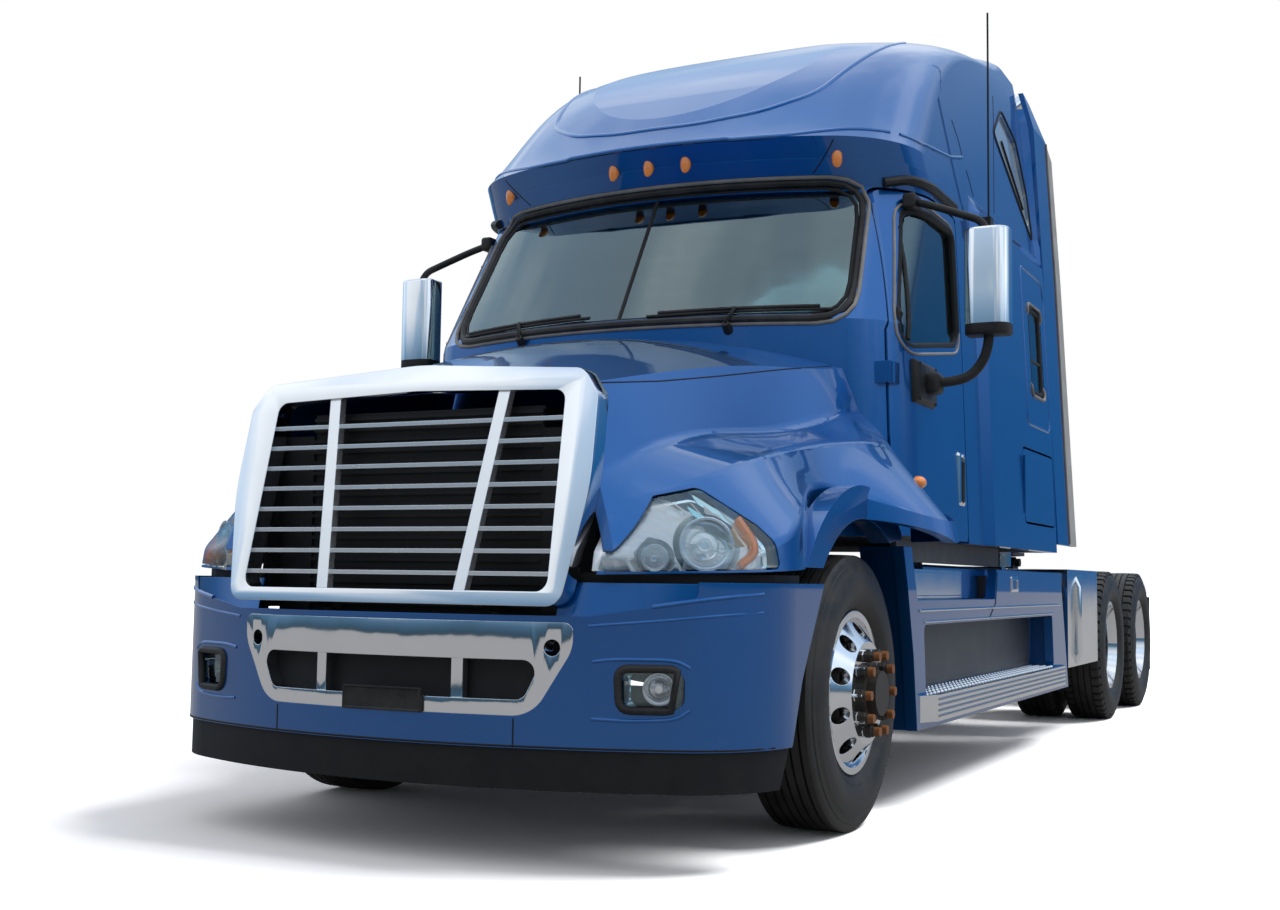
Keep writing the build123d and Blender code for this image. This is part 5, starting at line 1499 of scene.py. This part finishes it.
# ---------------------------------------------------------------- nose
@dataclass
class Nose:
    """Rounded chrome, bumper lines and shoulders, fog lamp bezels, the blank plate and the grille's side baffles."""

    def rounded_copy(self, name: str, node: str, width: float, finish: Finish, slot: Slot, body: str) -> None:
        """Stands in for a node with its edges rounded."""
        Bench.of_node(name, node).softened(width, 4, 40).smooth(30).placed(body, finish, slot, node)

    @staticmethod
    def shoulder(bumper: Skin) -> None:
        """Painted shoulder between the bumper's top edge and the lamp, and a dark sill behind it."""
        across = (0.600, 0.660, 0.720, 0.800, 0.880, 0.950, 1.000, 1.022)
        found = (bumper.front(x, 0.788 + max(0.0, x - 0.70) * 0.171, -0.006) for x in across)
        edge = [place for place in found if place]
        top = [Vector((point.x, point.y + 0.030 * (1.025 - point.x) / 0.425, 0.900)) for point in edge]
        both_sides(Bench.ribbon("bumper_shoulder_left", edge, top, 0.006).smooth(), "chassis", PAINT, Slot.PAINT)
        found = [bumper.front(x, 0.760, -0.060) for x in (0.62, 0.75, 0.90, 1.0, 1.06, 1.12, 1.15)]
        found += [bumper.side(Side.LEFT, behind, 0.880, -0.030) for behind in (-0.84, -0.74, -0.64)]
        foot = [place for place in found if place]
        sill = Bench.ribbon("lamp_sill_left", [Vector((p.x, p.y, 0.740)) for p in foot],
                            [Vector((p.x, p.y, 0.932)) for p in foot], 0.004)
        both_sides(sill, "chassis", DEEP_BLACK, Slot.BLACK)

    def build(self) -> None:
        """Dresses the grille and the bumper."""
        self.rounded_copy("grille_frame", "grille_surround", 0.028, CHROME, Slot.CHROME, "hood")
        self.rounded_copy("bumper_mouth", "bumper_chrome", 0.010, CHROME, Slot.CHROME, "chassis")
        bumper = Skin(("bumper",))
        fog = [(0.797, 0.506), (0.968, 0.506), (0.974, 0.636), (0.790, 0.636)]
        bezel = bumper.front_run(fog, 0.0, True, 0.012, 0.035)
        trim("fog_bezel_left", bezel, 0.013, BLACK, Slot.BLACK, closed=True, sides=4)
        for name, path, radius in (
                ("bumper_upper_line_left", [(0.680, 0.806), (0.865, 0.823), (1.074, 0.857), (1.170, 0.870)], 0.008),
                ("bumper_lower_line_left", [(0.700, 0.765), (0.913, 0.784), (1.074, 0.802), (1.170, 0.812)], 0.006),
                ("fog_scoop_top_left", [(0.715, 0.655), (0.780, 0.664), (0.960, 0.664), (1.000, 0.640)], 0.007),
                ("fog_scoop_foot_left", [(0.715, 0.478), (0.830, 0.474), (0.960, 0.480), (1.000, 0.510)], 0.007)):
            trim(name, bumper.front_run(path, -0.003, corner=0.05), radius, PAINT, Slot.PAINT)
        seam = bumper.front_run([(0.47, 0.382), (0.47, 0.472)], -0.001)
        trim("bumper_seam_left", seam, 0.003, DEEP_BLACK, Slot.BLACK, rounded=False)
        lip = Bench.tube("bumper_foot_seam", bumper.front_run([(-1.19, 0.386), (1.19, 0.386)], -0.002), 0.004)
        lip.placed("chassis", DEEP_BLACK, Slot.BLACK)
        face = Skin(("bumper_chrome",)).front(0.0, 0.505)
        plate = Bench.block("blank_plate", (-0.155, face.y - 0.010, 0.478), (0.155, face.y + 0.004, 0.556))
        plate.stepped(lambda f: f.normal.y < -0.9, (0.006, 0.0), (0.002, -0.004))
        plate.softened(0.002).placed("chassis", BLACK, Slot.BLACK)
        baffle = Bench.block("grille_baffle_left", (0.606, sta(-1.235), 0.800), (0.618, sta(-1.100), 1.430))
        with baffle.editing():
            baffle.pick(lambda v: v.co.z > 1.4 and v.co.y < sta(-1.2), "verts")
            bpy.ops.transform.translate(value=(0, 0.115, 0))
            baffle.pick(lambda f: abs(f.normal.x) > 0.9)
            bpy.ops.mesh.inset(thickness=0.02, depth=-0.002)
        both_sides(baffle, "chassis", DEEP_BLACK, Slot.BLACK)
        self.shoulder(Skin(("bumper", "bumper_chrome")))
        hood = Skin(("hood",))
        line = [(-1.06, 1.555), (-0.723, 1.599), (-0.354, 1.661), (0.089, 1.741), (0.46, 1.800)]
        edge = hood.side_run(Side.LEFT, line, -0.001)
        trim("hood_line_left", edge, 0.003, DEEP_BLACK, Slot.BLACK, "hood", rounded=False)


# ---------------------------------------------------------------- steps and fairings
@dataclass
class SideSteps:
    """Treads, lines, panels and grips of the side fairings, and a dark sheet of painted shade under the cab."""

    ribs: int = 18
    rib_pitch: float = 0.019
    studs: int = 44
    stud_rows: int = 4
    stud_pitch: float = 0.060
    row_pitch: float = 0.038

    def build(self) -> None:
        """Dresses both sides."""
        rib = Bench.block("upper_tread_left", (0.985, sta(0.735), 0.838), (1.146, sta(0.743), 0.845))
        tread = rib.softened(0.0015, 2).repeated(self.ribs, (0, self.rib_pitch, 0))
        both_sides(tread, "chassis", POLISHED, Slot.POLISHED)
        nosing = [(1.152, sta(s), 0.833) for s in (0.70, 1.2, 1.7, 2.06)]
        trim("upper_nosing_left", nosing, 0.014, POLISHED, Slot.POLISHED, sides=4)
        stud = Bench.drum("lower_studs_left", (1.075, sta(0.86), 0.452), 0.014, 0.007, (0, 0, 1), 10, 0.010)
        stud.stepped(lambda f: f.normal.z > 0.9, (0.004, -0.003))
        stud.repeated(self.studs, (0, self.stud_pitch, 0)).repeated(self.stud_rows, (self.row_pitch, 0.0, 0))
        both_sides(stud, "chassis", POLISHED, Slot.POLISHED)
        grips = [Bench.tube("sill_ribs_left", [(1.244, sta(0.86), z), (1.244, sta(3.56), z)], 0.006)
                 for z in (0.362, 0.385, 0.408, 0.431)]
        both_sides(grips[0].joined(*grips[1:]).smooth(), "chassis", SILL_GREY, Slot.ALUMINIUM)
        skin = Skin(("step_fairings",))
        for name, path, radius in (
                ("fairing_line_left", [(0.72, 0.800), (3.66, 0.800)], 0.007),
                ("recess_line_left", [(0.80, 0.752), (3.45, 0.752)], 0.006)):
            trim(name, skin.side_run(Side.LEFT, path, 0.001), radius, POLISHED, Slot.POLISHED)
        seam = skin.side_run(Side.LEFT, [(2.10, 0.975), (2.06, 0.82), (1.95, 0.76)], -0.001)
        trim("fairing_seam_left", seam, 0.004, DEEP_BLACK, Slot.BLACK, rounded=False)
        back = Bench.block("recess_panel_left", (1.0495, sta(0.80), 0.452), (1.053, sta(3.50), 0.775))
        back.stepped(lambda f: f.normal.x > 0.9, (0.012, 0.0), (0.003, -0.002))
        both_sides(back, "chassis", PANEL_GREY, Slot.GREY)
        slot = Bench.block("fairing_slot_left", (1.190, sta(2.395), 0.872), (1.206, sta(2.555), 0.955))
        slot.softened(0.010, 3)
        slot.stepped(lambda f: f.normal.x > 0.98 and f.calc_area() > 0.003, (0.010, 0.002), (0.002, -0.014))
        slot.two_finishes(POLISHED, DEEP_BLACK, lambda f: f.center.x < 1.2 and f.normal.x > 0.9)
        both_sides(slot, "chassis", None, Slot.POLISHED)
        riser = Bench.block("upper_riser_left", (1.106, sta(0.74), 0.846), (1.114, sta(1.74), 0.975))
        riser.stepped(lambda f: f.normal.x > 0.9, (0.012, 0.0), (0.003, 0.002))
        both_sides(riser.softened(0.001, 2), "chassis", POLISHED, Slot.POLISHED)
        # Dark sheet in the gap between the cab floor and the fairing deck: painted shade standing in for the shadow in
        # that gap.
        shade = Bench.block("under_cab_shade_left", (0.900, sta(0.64), 0.930), (0.906, sta(3.42), 1.006))
        shade.stepped(lambda f: abs(f.normal.x) > 0.9, (0.012, -0.001))
        both_sides(shade, "chassis", CHASSIS, Slot.CHASSIS)
        splash = Bench.block("splash_panel_left", (0.575, sta(-0.45), 0.985), (0.581, sta(0.62), 1.125))
        splash.stepped(lambda f: abs(f.normal.x) > 0.9, (0.012, -0.001))
        both_sides(splash, "chassis", DEEP_BLACK, Slot.BLACK)
        rail = [(x, sta(4.18), z) for x, z in ((1.185, 0.44), (1.212, 0.50), (1.212, 0.90), (1.185, 0.96))]
        trim("quarter_rail_left", rail, 0.022, POLISHED, Slot.POLISHED, sides=5)


@dataclass
class Rear:
    """Closing panels behind the roof, rubber edge lines and the deck plate behind the cab."""

    def build(self) -> None:
        """Builds what the tail shows."""
        roof = Skin(("roof_cap",))
        heights = [2.80, 2.95, 3.10, 3.25, 3.40, 3.55, 3.68, 3.76]
        inner = [roof.side(Side.LEFT, 3.505, z) for z in heights]
        outer = [Vector((self.extender_x(z) - 0.004, sta(3.535), z)) for z in heights]
        panel = Bench.ribbon("roof_rear_panel_left", inner, outer, 0.012)
        both_sides(panel, "chassis", PAINT, Slot.PAINT)
        edge = [Vector((self.extender_x(z) + 0.002, sta(3.868), z)) for z in (1.16, 2.0, 2.76, 3.2, 3.63)]
        trim("extender_edge_left", edge, 0.007, EDGE_GREY_AND_HIGHLIGHT, Slot.RUBBER, rounded=False)
        deck = Bench.block("deck_plate", (-0.42, sta(3.95), 1.000), (0.42, sta(4.85), 1.008))
        deck.stepped(lambda f: f.normal.z > 0.9, (0.03, 0.0), (0.006, -0.003))
        deck.placed("chassis", CHECKER, Slot.ALUMINIUM)

    @staticmethod
    def extender_x(height: float) -> float:
        """Outer face of the extender at a height."""
        line = ((1.150, 1.222), (2.760, 1.150), (3.640, 1.100), (3.860, 1.040))
        for (z0, x0), (z1, x1) in zip(line, line[1:]):
            if height <= z1:
                return x0 + (x1 - x0) * (height - z0) / (z1 - z0)
        return line[-1][1]


# ---------------------------------------------------------------- cab inside
@dataclass
class Seats:
    """Two seats and the bunk, padded and sewn."""

    x: float = 0.56

    @staticmethod
    def cushion(name: str, low: Point, high: Point, axis: Point, crown: float) -> Bench:
        """Crowned pad with a sewn border on one face.

        Args:
            name: Name of the piece.
            low: Its lowest corner.
            high: Its highest corner.
            axis: Direction of the crowned face.
            crown: Rise of its middle.

        Returns:
            The bench with the pad.
        """
        pad = Bench.block(name, low, high)
        facing = Vector(axis)
        with pad.editing():
            pad.pick(lambda f: f.normal.dot(facing) > 0.9)
            bpy.ops.mesh.inset(thickness=0.045, depth=crown * 0.3)
            bpy.ops.mesh.inset(thickness=0.010, depth=-0.006)
            bpy.ops.mesh.inset(thickness=0.010, depth=0.008)
            bpy.ops.mesh.inset(thickness=0.060, depth=crown * 0.7)
            bpy.ops.mesh.select_all(action="SELECT")
            bpy.ops.mesh.bevel(offset=0.006, segments=1)
        return pad.modifier("SUBSURF", levels=3, render_levels=3).smooth(60)

    def build(self) -> None:
        """Fits seats and bunk in place of the plain blocks."""
        x = self.x
        for side in Side:
            middle = side.value * x
            parts = (
                ("seat_cushion", (middle - 0.25, sta(1.20), 1.38), (middle + 0.25, sta(1.68), 1.545), (0, 0, 1), 0.03),
                ("seat_back", (middle - 0.24, sta(1.60), 1.50), (middle + 0.24, sta(1.75), 2.08), (0, -1, 0), 0.03),
                ("seat_head", (middle - 0.13, sta(1.62), 2.11), (middle + 0.13, sta(1.74), 2.295), (0, -1, 0), 0.015))
            for index, (name, low, high, axis, crown) in enumerate(parts):
                pad = self.cushion(f"{name}_{side.word}", low, high, axis, crown)
                first = ("seats",) if side is Side.LEFT and index == 0 else ()
                pad.placed("chassis", CLOTH, Slot.FABRIC, *first)
            base = Bench.block(f"seat_base_{side.word}", (middle - 0.20, sta(1.27), 1.150),
                               (middle + 0.20, sta(1.62), 1.38))
            with base.editing():
                base.pick(lambda f: f.normal.z > 0.9)
                bpy.ops.transform.resize(value=(1.15, 1.10, 1.0))
            base.softened(0.02).placed("chassis", CHASSIS, Slot.GREY)
        bunk = self.cushion("bunk_mattress", (-1.03, sta(2.52), 1.52), (1.03, sta(3.40), 1.695), (0, 0, 1), 0.02)
        bunk.placed("chassis", CLOTH, Slot.FABRIC)
        box = Bench.block("bunk_base", (-1.03, sta(2.52), 1.15), (1.03, sta(3.40), 1.52))
        box.stepped(lambda f: f.normal.y < -0.9, (0.05, 0.0), (0.004, -0.006))
        box.placed("chassis", CAB_TRIM, Slot.GREY)


@dataclass
class NodeFinishes:
    """Puts the record's finishes on the CAD nodes."""

    special: dict[str, Finish] = field(default_factory=dict)

    def build(self) -> None:
        """Assigns each node's finish by its slot, or by its own name where it differs."""
        for part in frame["record"]["subparts"]:
            node = frame["nodes"][part["node"]]
            finish = self.special.get(part["node"], NODE_FINISH[part["material_slot"]])
            for place in node.material_slots:
                place.material = finish.material()


def main() -> None:
    """Builds the scene and reports each piece."""
    logging.basicConfig(level=logging.INFO, format="%(name)s: %(message)s")
    Studio().build()
    wheels = {f"{node}_{side.word}": WheelMetal(f"{node}_metal", sta(behind), face)
              for node, behind, face in (("wheel_front", 0.0, FRONT_FACE),
                                         ("wheels_drive_front", DRIVE_FRONT, DRIVE_FACE),
                                         ("wheels_drive_rear", DRIVE_REAR, DRIVE_FACE)) for side in Side}
    NodeFinishes({"engine_block": IRON, "radiator": DEEP_BLACK, "bumper_mesh": DEEP_BLACK, "air_dam": DEEP_BLACK,
                  "fog_lamps": CLEAR, "grille_bars": BAR_CHROME, "roof_cap": RoofPaint(), **wheels}).build()
    for assembly in (Tyres(), WheelNuts(), Headlamps(), BodyLamps(), Windscreen(), DoorTrim(), Mirrors(), Seams(),
                     SleeperWindows(), Nose(), SideSteps(), Rear(), Seats()):
        assembly.build()


if __name__ == "__main__":
    main()
